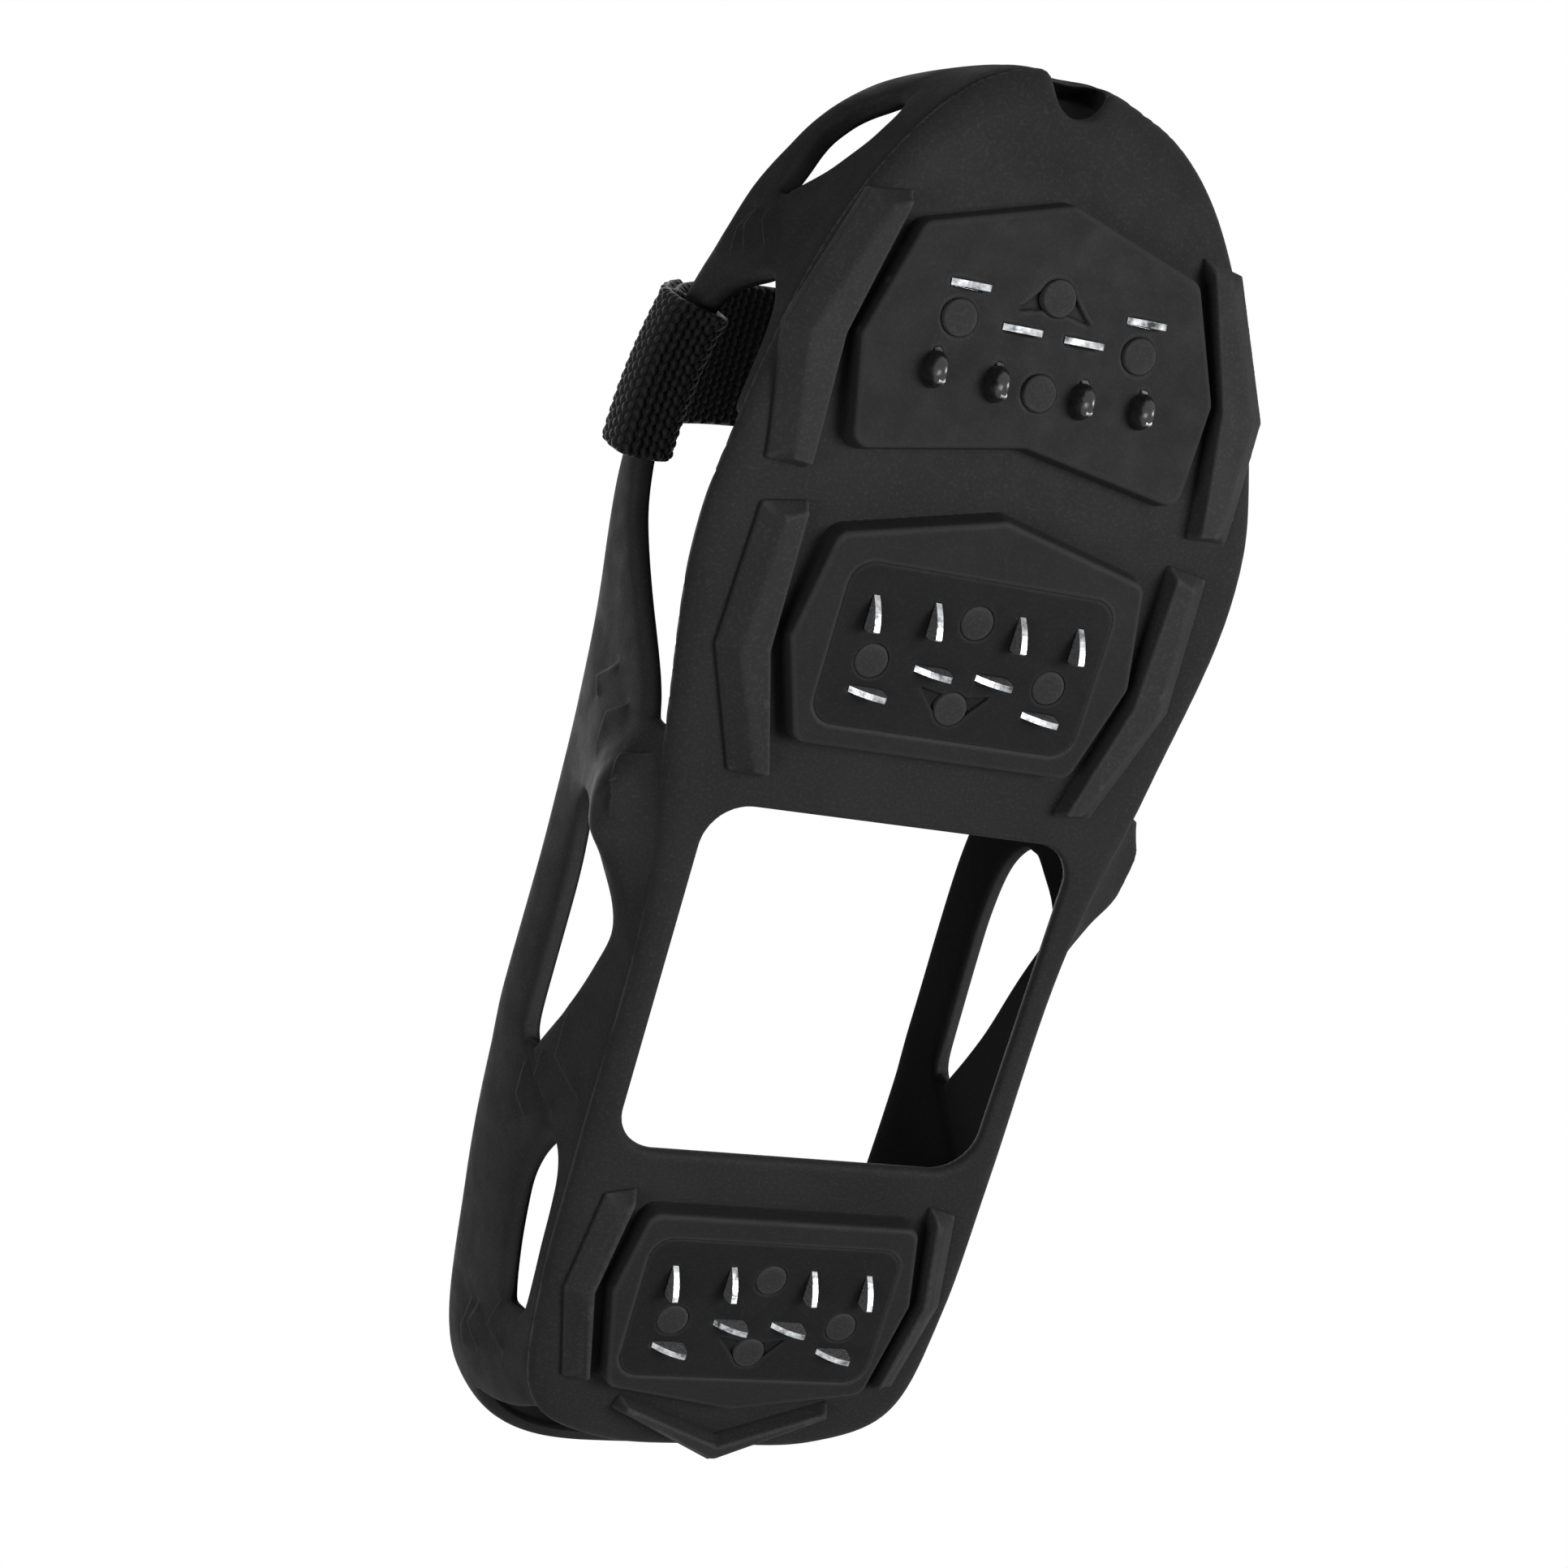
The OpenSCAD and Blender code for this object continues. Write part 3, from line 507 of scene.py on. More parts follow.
def lug_field(x, y, h, rings, crown=0.6, foot=0.9):
    base, top = (ring_distance(x, y, ring) for ring in rings)
    t = np.clip((-h - foot) / (LUG_H - foot), 0, 1)
    return smooth_max(smooth_max(base + (top - base) * t, -LUG_H - h, crown), h - 1.5, 0.3)


def lug_skin(rings, side):
    lo, hi = rings[0].min(0) - 1.2, rings[0].max(0) + 1.2
    points, faces = surface_net(lambda x, y, h: lug_field(x, y, h, rings),
                                (*lo, -LUG_H - 0.9), (*hi, 2.2), LUG_CELL)
    return points * (side, 1, 1), faces


lug_points, lug_faces = joined(lug_skin(*lug) for lug in LUGS)
lug_points = np.array(lug_points)
lug_points[:, 2] += rise(lug_points[:, 1]) + PAD_H
make_piece("sole_lugs", lug_points, lug_faces, lug_rubber, "harness", "shell_rubber")

# %% [markdown]
# ## Pads, covers and plugs
# Each steel plate lies in a rubber pad, under a thin cover that the teeth reach through. On the ball
# and the heel the cover's seam shows as a fine rounded rectangle; on the toe it is moulded over. Four
# rubber plugs lock each plate: they stand proud on the toe and sit flush elsewhere. The pads use the
# same field as the sole, and the plugs are turned profiles.

# %% Pad outlines
def rounded_ring(points, r, steps=6):
    points = np.array(points, float)
    ring = []
    for a, b, c in zip(np.roll(points, 1, 0), points, np.roll(points, -1, 0)):
        p, q = (a - b) / np.linalg.norm(a - b), (c - b) / np.linalg.norm(c - b)
        half = math.acos(p @ q) / 2
        middle = b + (p + q) / np.linalg.norm(p + q) * r / math.sin(half)
        s, e = b + p * r / math.tan(half) - middle, b + q * r / math.tan(half) - middle
        turn = math.atan2(s[0] * e[1] - s[1] * e[0], s @ e)
        for g in np.linspace(0, turn, steps):
            cos, sin = math.cos(g), math.sin(g)
            ring.append(middle + (s[0] * cos - s[1] * sin, s[0] * sin + s[1] * cos))
    return np.array(ring)


def both_sides(half):
    return half + [(-x, y) for x, y in reversed(half) if x > 0]


PADS = {
    "toe": dict(y=TOE_PLATE_Y, tilt=TILT, turn=-1, proud=0.9,
                outline=[(0, 23.9), (28.9, 15.3), (37, -6.2), (34.3, -26.4), (0, -20.6)]),
    "ball": dict(y=0.0, tilt=0.0, turn=1, proud=0.12,
                 outline=[(0, 30.5), (32.4, 23), (36.2, 2.1), (29.6, -17.9)]),
    "heel": dict(y=HEEL_PLATE_Y, tilt=0.0, turn=1, proud=0.12,
                 outline=[(29.9, 24), (33.5, 5.7), (29, -16.5), (0, -21.2)]),
}
PLUGS = [(0, 10.4), (0, -7.1), (19, 0), (-19, 0)]
TEETH = [(9, 9.7, 1), (-9, 9.7, 1), (21.8, 9.3, 1), (-21.8, 9.3, 1),
         (6.5, -0.1, 0), (-6.5, -0.1, 0), (18.5, -6, 0), (-18.5, -6, 0)]
COVER_HALF, COVER_Y, COVER_MID, COVER_T = 28.1, 16.15, 2.65, 1.3
PLUG_R, TOOTH_HALF, SHEET_HALF = 3.4, 3.4, 0.6


def at_pad(pad, points):
    p = np.array(points, float)
    c, s = math.cos(pad["tilt"]), math.sin(pad["tilt"])
    y, z = p[:, 1] * c - p[:, 2] * s, p[:, 1] * s + p[:, 2] * c
    return np.stack([p[:, 0], y + pad["y"], z + PAD_H + float(rise(pad["y"]))], 1)


print("pads:", list(PADS), "with", len(TEETH), "teeth and", len(PLUGS), "plugs each")

# %% Pad and cover skins
PAD_CELL, COVER_CELL, SLEEVE_CELL = 0.5, 0.42, 0.3
WING_RING = np.array([(7.6, -3.5), (0, -4.9), (-7.6, -3.5), (-2.4, -9.1), (2.4, -9.1)])
SLEEVE_OUT, SLEEVE_ALONG, SLEEVE_UP = 2.5, 3.5, 4.9


def cover_distance(x, y):
    return box_distance(x, y - COVER_MID, COVER_HALF, COVER_Y, 5)


def openings(x, y, room=0.12):
    d = np.full(x.shape, 1e9)
    for px, py in PLUGS:
        d = np.minimum(d, np.hypot(x - px, y - py) - PLUG_R - 0.05)
    for tx, ty, upright in TEETH:
        along_x, along_y = (SHEET_HALF, TOOTH_HALF) if upright else (TOOTH_HALF, SHEET_HALF)
        d = np.minimum(d, box_distance(x - tx, y - ty, along_x + room, along_y + room, 0.4))
    return d


def wings(x, y, h, deep=0.9):
    return smooth_max(ring_distance(x, y, WING_RING), h + PAD_H - deep, 0.2)


def sleeve(x, y, h):
    d = np.full(np.broadcast(x, h).shape, 1e9)
    for tx, ty, upright in TEETH:
        if upright:
            out, back = (tx - x) / SLEEVE_OUT, (y - ty - 0.6) / SLEEVE_ALONG
            dome = (np.sqrt(out**2 + back**2 + ((h + PAD_H) / SLEEVE_UP) ** 2) - 1) * 2.4
            d = np.minimum(d, smooth_max(dome, x - tx - 0.5, 0.25))
    return smooth_max(d, h + PAD_H - 0.6, 0.2)


def pad_block(x, y, h, ring, draft=0.7, crown=0.9):
    side = ring_distance(x, y, ring) - draft * (1 + h / PAD_H)
    return smooth_max(smooth_max(side, -PAD_H - h, crown), h - 0.15, 0.2)


def pocketed_pad(x, y, h, ring):
    pocket = smooth_max(cover_distance(x, y), h + PAD_H - 3.0, 0.3)
    return smooth_max(pad_block(x, y, h, ring), -pocket, 0.3)


def moulded_over_pad(x, y, h, ring):
    block = smooth_max(pad_block(x, y, h, ring), -wings(-x, -y, h), 0.3)
    return smooth_max(block, -smooth_max(openings(-x, -y), h + PAD_H - 1.6, 0.3), 0.2)


def cover_skin(x, y, h):
    sheet = np.abs(h + PAD_H - COVER_T / 2) - COVER_T / 2
    slab = smooth_max(cover_distance(x, y) - 0.08, sheet, 0.3)
    return smooth_max(smooth_max(slab, -wings(x, y, h), 0.25), -openings(x, y), 0.2)


for place, pad in PADS.items():
    ring = rounded_ring(both_sides(pad["outline"]), 3)
    lo, hi = (*(ring.min(0) - 2), -PAD_H - 4), (*(ring.max(0) + 2), 1.0)
    skin = moulded_over_pad if place == "toe" else pocketed_pad
    points, faces = surface_net(lambda x, y, h: skin(x, y, h, ring), lo, hi, PAD_CELL)
    nodes = [f"{place}_pad"] + (["toe_cover"] if place == "toe" else [])
    make_piece(f"{place}_pad_rubber", at_pad(pad, points), faces, pad_rubber,
               "harness", "pad_rubber", nodes)
    if place != "toe":
        points, faces = surface_net(cover_skin, (-29.2, -14.5, -PAD_H - 1), (29.2, 20, -PAD_H + 2.2),
                                    COVER_CELL)
        make_piece(f"{place}_cover_rubber", at_pad(pad, points), faces, cover_rubber,
                   "harness", "pad_rubber", [f"{place}_cover"])

points, faces = surface_net(sleeve, (-25.5, 4, -PAD_H - 5.6), (25.5, 15, -PAD_H + 1.2), SLEEVE_CELL)
make_piece("toe_tooth_sleeves", at_pad(PADS["toe"], points * (-1, -1, 1)), faces, drawn_rubber,
           "harness", "pad_rubber")


# %% Plugs
def turned(profile, centre, sides=40):
    angles = np.arange(sides) * 2 * math.pi / sides
    points = [(centre[0] + r * math.cos(a), centre[1] + r * math.sin(a), h)
              for r, h in profile for a in angles]
    return points, tube_faces(len(profile), sides, (0, len(profile) - 1))


def plug_profile(proud):
    face = -PAD_H - proud
    return [(2.2, -0.55), (PLUG_R, -0.6), (PLUG_R, face + 0.45), (PLUG_R - 0.1, face + 0.2),
            (PLUG_R - 0.35, face + 0.03), (PLUG_R - 0.75, face - 0.06), (1.6, face - 0.1),
            (0.6, face - 0.12)]


for place, pad in PADS.items():
    profile, turn = plug_profile(pad["proud"]), pad["turn"]
    points, faces = joined(turned(profile, (px * turn, py * turn)) for px, py in PLUGS)
    make_piece(f"{place}_plug_set", at_pad(pad, points), faces, lug_rubber,
               "harness", "shell_rubber", [f"{place}_plugs"])

# %% [markdown]
# ## Steel plates
# The plates and their bent teeth are exact in the CAD model, so they stay. A narrow bevel breaks the
# sheared edges and catches the light, and the steel finish goes in their material slots.

# %% Cleat plates
for place in PADS:
    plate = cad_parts[f"{place}_cleat_plate"]
    plate.data.materials.clear()
    plate.data.materials.append(cleat_steel)
    edge = plate.modifiers.new("broken_edge", "BEVEL")
    edge.width = 0.00016
    edge.segments = 2
    edge.limit_method = "ANGLE"
    edge.angle_limit = math.radians(35)
    print("steel finish on", plate.name)

# %% [markdown]
# ## The stretch upper
# A wall of rubber rises from the sole's edge to a thick rim, with long openings cut out of it. This is
# a job for a subdivision surface: a coarse closed cage of quads, with cells left out at the openings,
# turns into soft curves and rounded lips by itself. Each station of the cage has a low band, a middle
# band and a rim band. Two short tables give their heights, and a third says where a band is cut away.

# %% Heights along the upper
# station and height of the rim; then station and the low and high edge of the opening
RIM_TOP = np.array([(0, 57), (1.2, 56), (2, 49), (3, 49.5), (4, 53), (5, 58), (6, 61), (7, 60.5),
                    (8, 58), (9, 58), (10, 60), (11, 62)])
GAP = np.array([
    (0, 31, 36), (0.27, 30, 36), (1.32, 34, 40), (1.5, 30.5, 45), (1.8, 29.5, 45), (2.1, 32.5, 41.5),
    (2.33, 38.5, 40.5), (2.82, 23, 26), (2.92, 18, 34), (3.05, 15.5, 40), (3.25, 13, 43),
    (3.5, 11, 43.8), (4, 11, 44), (4.3, 10, 41), (4.6, 10, 32), (4.85, 10, 22), (5.05, 9.2, 15),
    (5.72, 35, 40), (5.8, 25, 42.5), (5.95, 17.5, 43.5), (6.15, 17, 43.5), (6.5, 25, 43),
    (6.88, 37, 42.3), (7.12, 14.5, 18), (7.22, 12.2, 21.5), (7.45, 11.2, 25.5), (7.9, 11.2, 24.5),
    (8.25, 12.5, 23), (9.2, 38, 40), (10, 38, 42), (11, 38, 44)])
# start, end, steps, and whether the low band and the middle band are there
BAYS = [(0, 0.27, 3, 0, 1), (0.27, 1.32, 7, 1, 1), (1.32, 2.33, 9, 1, 0), (2.33, 2.82, 7, 1, 1),
        (2.82, 3.5, 7, 1, 0), (3.5, 5.05, 12, 0, 0), (5.05, 5.72, 9, 1, 1), (5.72, 6.88, 10, 1, 0),
        (6.88, 7.12, 5, 1, 1), (7.12, 8.25, 9, 1, 0), (8.25, 9.2, 8, 1, 1), (9.2, 11, 9, 0, 0)]


def folded(u):
    return min(u, LOOP - u)


def rim_top(u):
    return float(np.interp(folded(u), RIM_TOP[:, 0], RIM_TOP[:, 1]))


def gap_at(u):
    return [float(np.interp(folded(u), GAP[:, 0], GAP[:, k])) for k in (1, 2)]


print("bays on each side:", len(BAYS), "and the rim at the toe:", rim_top(0), "mm")

# %% Wall surface
BULGE, BULGE_H, TUCK_H, TUCK_IN, SWELL_FADE = 11.5, 5.0, 3.2, 5, 14


def floor_at(u):
    return float(rise(along(EDGE, u)[1])) + PAD_H + WEB_T


def bulge_at(u, above, below):
    share = np.interp(folded(u), (5, 5.15, 5.3, 5.45, 5.65, 5.9, 6.15), (0, 0.25, 0.7, 1, 1, 0.45, 0))
    fade = max(0.0, below / (above + below - BULGE_H)) ** 2
    return BULGE * share * (max(0.0, above) / BULGE_H if above < BULGE_H else fade)


def tuck(depth):
    """How far the foot of the wall draws in, so that it runs on into the sole's rounded edge."""
    x = np.clip((depth - 0.3) / TUCK_H, 0, 1)
    return TUCK_IN * (1 - np.sqrt(1 - x * x)) + 0.15 * depth


def wall_point(u, z, offset):
    edge, rim = along(EDGE, u), along(RIM, u)
    n_edge, n_rim = outward(EDGE, u), outward(RIM, u)
    floor = floor_at(u)
    w = min(1, max(0, (z - floor) / (rim_top(u) - floor)))
    side = (1 - w) * n_edge + w * n_rim
    side /= np.linalg.norm(side)
    foot = edge - n_edge * WALL_T / 2
    flare = np.interp(folded(u), (2, 5), (0, 1))
    lean = (1 - flare) * w * w + flare * w * (2 - w)
    plan = foot + (rim - foot) * lean + side * (offset + bulge_at(u, z - floor, rim_top(u) - z))
    plan = plan - n_edge * tuck(max(0.0, floor - z))
    plan = plan + toe_swell(edge[0], edge[1]) * math.exp(-(max(0.0, z - floor) / SWELL_FADE) ** 2)
    return (plan[0], plan[1], z)


print("wall beside the ball:", [round(float(c), 1) for c in wall_point(4, 45, 0)])

# %% Levels of the cage
FOOT_DEPTHS = (2.6, 1.2)
LOW_STEPS = (0.07, 0.17, 0.32, 0.62, 0.93, 1)
MID_STEPS = (0.25, 0.5, 0.75)
RIM_STEPS = (0, 0.12, 0.5, 0.88, 1)
LOW_LEVELS = len(FOOT_DEPTHS) + len(LOW_STEPS)
LEVELS = LOW_LEVELS + len(MID_STEPS) + len(RIM_STEPS)
LOW_CELLS, MID_CELLS = LOW_LEVELS - 1, LOW_LEVELS + len(MID_STEPS)
NOTCH_U = 0.28  # up to this station the wall is thinned from the inside, over the notch


def station_column(u, lip):
    floor, top, (low, high) = floor_at(u), rim_top(u), gap_at(u)
    heights = [floor - d for d in FOOT_DEPTHS] + [floor + (low - floor) * s for s in LOW_STEPS]
    heights += [low + (high - low) * s for s in MID_STEPS]
    heights += [high + (top - high) * s for s in RIM_STEPS]
    thick = [WALL_T] * LOW_CELLS + [WALL_T * lip]
    thick += [WALL_T + (0.8 * RIM_T - WALL_T) * s for s in MID_STEPS]
    thick += [0.8 * RIM_T * lip, 0.95 * RIM_T, RIM_T, 0.95 * RIM_T, 0.6 * RIM_T]
    thin = [np.clip((z - low) / 5, 0.25, 1) if folded(u) < NOTCH_U else 1.0 for z in heights]
    return [(wall_point(u, z, t / 2), wall_point(u, z, t / 2 - t * k))
            for z, t, k in zip(heights, thick, thin)]


print("cage levels:", LEVELS)


# %% Cage of the upper
def cage():
    steps = []
    for start, end, count, low, middle in BAYS:
        for k in range(count):
            lip = 1.0 if middle or k == 0 else 0.75
            steps.append((start + (end - start) * k / count, low, middle, lip))
    right = [(u, lip) for u, _, _, lip in steps] + [(LOOP / 2, 1.0)]
    stations = right + [(LOOP - u, lip) for u, lip in right[-2:0:-1]]
    bands = [(low, middle) for _, low, middle, _ in steps]
    bands += bands[::-1]
    n = len(stations)
    points = [p for u, lip in stations for pair in station_column(u, lip) for p in pair]
    rim_cells = LEVELS - 1 - MID_CELLS
    there = [[low] * LOW_CELLS + [middle] * (MID_CELLS - LOW_CELLS) + [1] * rim_cells + [0]
             for low, middle in bands]  # the last 0 stands for above the rim and below the foot

    def at(i, j, side):
        return ((i % n) * LEVELS + j) * 2 + side

    faces = []
    for i in range(n):
        for j in range(LEVELS - 1):
            if not there[i][j]:
                continue
            corners = ((i, j), (i + 1, j), (i + 1, j + 1), (i, j + 1))
            faces.append([at(*c, 0) for c in corners])
            faces.append([at(*c, 1) for c in corners[::-1]])
            for k, (di, dj) in enumerate(((0, -1), (1, 0), (0, 1), (-1, 0))):
                if not there[(i + di) % n][j + dj]:
                    a, b = corners[k], corners[(k + 1) % 4]
                    faces.append([at(*a, 1), at(*b, 1), at(*b, 0), at(*a, 0)])
    used, new = np.unique(faces, return_inverse=True)
    return [points[i] for i in used], new.reshape(-1, 4).tolist()


def subdivided(points, faces, levels):
    mesh = bpy.data.meshes.new("cage")
    mesh.from_pydata([tuple(p) for p in points], [], faces)
    turn_outward(mesh)
    holder = bpy.data.objects.new("cage", mesh)
    scene.collection.objects.link(holder)
    modifier = holder.modifiers.new("soft", "SUBSURF")
    modifier.levels = modifier.render_levels = levels
    result = holder.evaluated_get(bpy.context.evaluated_depsgraph_get()).to_mesh()
    smooth = np.array([v.co for v in result.vertices])
    normals = np.array([v.normal for v in result.vertices])
    soft_faces = [tuple(p.vertices) for p in result.polygons]
    bpy.data.objects.remove(holder)
    return smooth, normals, soft_faces


cage_points, cage_faces = cage()
upper_points, upper_normals, upper_faces = subdivided(cage_points, cage_faces, 2)
print("cage:", len(cage_faces), "faces; soft upper:", len(upper_faces))

# %% [markdown]
# ## Chevrons on the pillars
# Where the wall stays whole between two openings, shallow chevrons step down it like overlapping
# arrowheads. They are moulded relief, so the dense skin is moved in and out along its own normals by a
# profile of the distance to each chevron's two arms: proud within the arrowhead, hollow outside it.

# %% Chevron relief
CHEVRONS = np.array([  # on the right wall: the end of one arm, the apex, the end of the other arm
    ((48, 71, 42.5), (49.5, 66, 44), (51, 61.5, 41.5)),
    ((47.5, 71, 41.5), (49.5, 67, 41.5), (50, 63, 37.5)),
    ((47, 71.5, 38.5), (48, 69, 37.5), (48.5, 65.5, 32)),
    ((53.5, -19.5, 35.5), (53, -26, 46), (53, -29.5, 42.5)),
    ((53.5, -23.5, 24.5), (54, -29, 33.5), (55, -38.5, 30)),
    ((52.5, -27, 9), (56.5, -30.5, 15), (57, -42.5, 11.5)),
    ((49.5, -107, 37), (50, -115.5, 37), (49, -117.5, 30.5)),
    ((49, -102, 32), (49, -108.5, 32), (48, -110.5, 20.5)),
    ((48.5, -90.5, 26), (48.5, -100.5, 25.5), (47, -102.5, 12)),
    ((46.5, -166.5, 39.5), (45.5, -176, 44), (44, -180.5, 42.5)),
    ((46.5, -164, 34.5), (45.5, -172.5, 39.5), (44.5, -175, 33.5)),
    ((46.5, -157, 24), (45.5, -166, 29), (44.5, -166.5, 20))])


def arm_distance(p, n, a, b):
    """How far each point is from an arm, measured along the wall, and where on the arm that is."""
    t = np.clip((p - a) @ (b - a) / ((b - a) @ (b - a)), 0, 1)
    off = p - a - t[:, None] * (b - a)
    lift = np.clip((off * n).sum(1), -3, 3)
    return np.linalg.norm(off - lift[:, None] * n, axis=1), t


def chevron_relief(p, n, ends, proud=0.5, hollow=0.3, reach=3.2, blur=0.16):
    a, apex, c = ends
    (d1, t1), (d2, t2) = (arm_distance(p, n, apex, end) for end in (a, c))
    first = d1 < d2
    d, t = np.where(first, d1, d2), np.where(first, t1, t2)
    turn = np.sign(n @ np.cross(a - apex, c - apex))
    in_a = turn * (np.cross(a - apex, p - apex) * n).sum(1) > 0
    in_c = turn * (np.cross(p - apex, c - apex) * n).sum(1) > 0
    signed = np.where(in_a & in_c, d, -d)
    step = 0.5 + 0.5 * np.tanh(signed / blur)
    fade = np.exp(-(d / reach) ** 2) * (1 - t**8)
    return (proud * step - hollow * (1 - step)) * fade


def on_right(points, normals):
    """Points and normals, with those of the left wall mirrored onto the right one."""
    side = np.where(points[:, :1] < 0, -1.0, 1.0) * (1, 0, 0) + (0, 1, 1)
    return points * side, normals * side


def near_arms(p, n, within):
    return np.any([arm_distance(p, n, apex, end)[0] < within
                   for a, apex, c in CHEVRONS for end in (a, c)], axis=0)


def finer(points, faces, picked, longest):
    bm = bmesh.new()
    verts = [bm.verts.new(p) for p in points]
    for face in faces:
        bm.faces.new([verts[i] for i in face])
    edges = {e for v, pick in zip(verts, picked) if pick for f in v.link_faces for e in f.edges}
    edges = [e for e in edges if e.calc_length() > longest]
    bmesh.ops.subdivide_edges(bm, edges=edges, cuts=1, use_grid_fill=True)
    bmesh.ops.recalc_face_normals(bm, faces=bm.faces)
    bm.normal_update()
    bm.verts.index_update()
    result = [np.array([v.co for v in bm.verts]), np.array([v.normal for v in bm.verts]),
              [tuple(v.index for v in f.verts) for f in bm.faces]]
    bm.free()
    return result


for within, longest in ((1.1, 0.75), (0.7, 0.42), (0.5, 0.32)):
    p, n = on_right(upper_points, upper_normals)
    close = near_arms(p, n, within) & (n[:, 0] > 0)
    upper_points, upper_normals, upper_faces = finer(upper_points, upper_faces, close, longest)
p, n = on_right(upper_points, upper_normals)
outer = n[:, 0] > 0.1
relief = np.zeros(len(p))
for ends in CHEVRONS:
    relief[outer] += chevron_relief(p[outer], n[outer], ends)
upper_points = upper_points + upper_normals * relief[:, None]
make_piece("stretch_upper", upper_points, upper_faces, upper_rubber, "harness", "shell_rubber",
           ["upper_toe", "upper_right", "upper_left", "upper_heel"])
print("chevrons:", len(CHEVRONS), "on each side, deepest", round(float(-relief.min()), 2), "mm")

# %% [markdown]
# ## Webbing
# A woven strap crosses the instep. At each side it wraps the rim in a loop; on one side it is sewn
# down, on the other its tail turns back and closes with hook and loop. A flat ribbon with a noise bump
# looks like plastic, so the weave is real relief: short yarn crowns laid like bricks, which lean the
# other way in every second row, as in a herringbone.

# %% Weave relief
STRAP_W, STRAP_T, STRAP_Y = 30.0, 2.0, 34.5
CROWN_ALONG, CROWN_ACROSS = 2.0, 2.1


def weave(s, w, height=0.75):
    row = np.floor(s / CROWN_ALONG)
    fs = s / CROWN_ALONG - row - 0.5
    lean = np.where(row % 2 == 0, 0.32, -0.32)
    fw = w / CROWN_ACROSS + 0.5 * (row % 2) + lean * fs
    fw = fw - np.floor(fw) - 0.5
    crown = np.sqrt(np.clip(1 - (2 * fs) ** 2 - (2 * fw) ** 2, 0, 1))
    return height * (crown - 0.55)


print("crowns across the strap:", round(STRAP_W / CROWN_ACROSS))


# %% Strips
def strip_grid(rows, columns, width, closed=False):
    """Every point of a strip, as its share of the length and its place across."""
    v, w = np.arange(rows) / (rows if closed else rows - 1), np.linspace(-width / 2, width / 2, columns)
    return [g.ravel() for g in np.meshgrid(v, w, indexing="ij")]


def strip_faces(rows, columns, closed=False):
    """Two layers, one above the other, and the walls round their edges."""
    index = np.arange(2 * rows * columns).reshape(2, rows, columns)
    ends = [] if closed else [index[:, 0], index[:, -1]]
    if closed:
        index = np.concatenate([index, index[:, :1]], 1)
    sheets = [index[0], index[1][::-1], index[:, :, 0], index[:, :, -1]] + ends
    return sum((quads(sheet) for sheet in sheets), [])


def woven_strip(surface, length, rows, columns=76, closed=False):
    """surface(v, w, k) takes shares of the length, places across, and k from 0 inside to 1 outside."""
    v, w = strip_grid(rows, columns, STRAP_W, closed)
    edge = np.clip((STRAP_W / 2 - np.abs(w)) / 0.9, 0, 1)
    round_off = 0.4 * (1 - np.sqrt(1 - (1 - edge) ** 2))
    relief = weave(v * length, w) * np.clip(edge * 2, 0, 1) / STRAP_T
    outside, inside = surface(v, w, 1 - round_off + relief), surface(v, w, round_off - relief)
    return np.vstack([outside, inside]), strip_faces(rows, columns, closed)


print("strip helpers ready")

# %% Loops round the rim
LOOP_SLACK, LOOP_SAG = 0.9, 0.9
U_FRONT, U_BACK = 3.157, 4.0125


def loop_rows(side):
    rows = []
    for u in np.linspace(U_FRONT, U_BACK, 76):
        high, top = gap_at(u)[1], rim_top(u)
        middle = wall_point(u, (high + top) / 2, 0)
        rows.append((*middle, *outward(RIM, u), (top - high) / 2 + LOOP_SLACK))
    return np.array(rows) * (side, 1, 1, side, 1, 1)


def loop_surface(side):
    rows = loop_rows(side)
    across = np.linspace(-STRAP_W / 2, STRAP_W / 2, len(rows))

    def surface(v, w, k):
        x, y, z, nx, ny, half_z = (np.interp(w, across, rows[:, i]) for i in range(6))
        a = 2 * math.pi * v
        d = (np.abs(np.cos(a)) ** 3 + np.abs(np.sin(a)) ** 3) ** (-1 / 3)
        off = LOOP_SAG + (RIM_T / 2 + LOOP_SLACK + LOOP_SAG + k * STRAP_T) * np.cos(a) * d
        return np.stack([x + nx * off, y + ny * off, z + (half_z + k * STRAP_T) * np.sin(a) * d], 1)
    return surface


for side, name, node in ((1, "anchor_loop", "strap_anchor"), (-1, "turn_loop", "strap_turn")):
    points, faces = woven_strip(loop_surface(side), 48.0, rows=224, columns=136, closed=True)
    make_piece(name, points, faces, webbing, "harness", "webbing", [node])

# %% Strap over the instep
ARCH_A, ARCH_B, ARCH_Z = 53.5, 36.04, 51.96


def arch_point(degrees, across, r):
    a = np.radians(degrees)
    return np.stack([(ARCH_A + r) * np.cos(a), STRAP_Y + across, ARCH_Z + (ARCH_B + r) * np.sin(a)], 1)


def arch_surface(offset, thickness, start, end):
    return lambda v, w, k: arch_point(start + (end - start) * v, w, offset + (k - 0.5) * thickness)


def arch_length(offset, start, end):
    line = arch_point(np.linspace(start, end, 200), np.zeros(200), offset)
    return float(np.linalg.norm(np.diff(line, axis=0), axis=1).sum())


def arch_band(offset, start, end, pitch=0.34):
    length = arch_length(offset, start, end)
    return woven_strip(arch_surface(offset, STRAP_T, start, end), length, int(length / pitch))


TAIL_OFF, TAIL_END, TAIL_ROOT = 4.0, 104.0, 173.4
make_piece("instep_webbing", *arch_band(0, 4.6, 175.4), webbing, "harness", "webbing", ["instep_strap"])
make_piece("tail_webbing", *arch_band(TAIL_OFF, TAIL_END, TAIL_ROOT), webbing, "strap_tail", "webbing",
           ["strap_tail"])
make_piece("anchor_fold", *arch_band(STRAP_T + 0.1, 6.0, 30.0), webbing, "harness", "webbing")

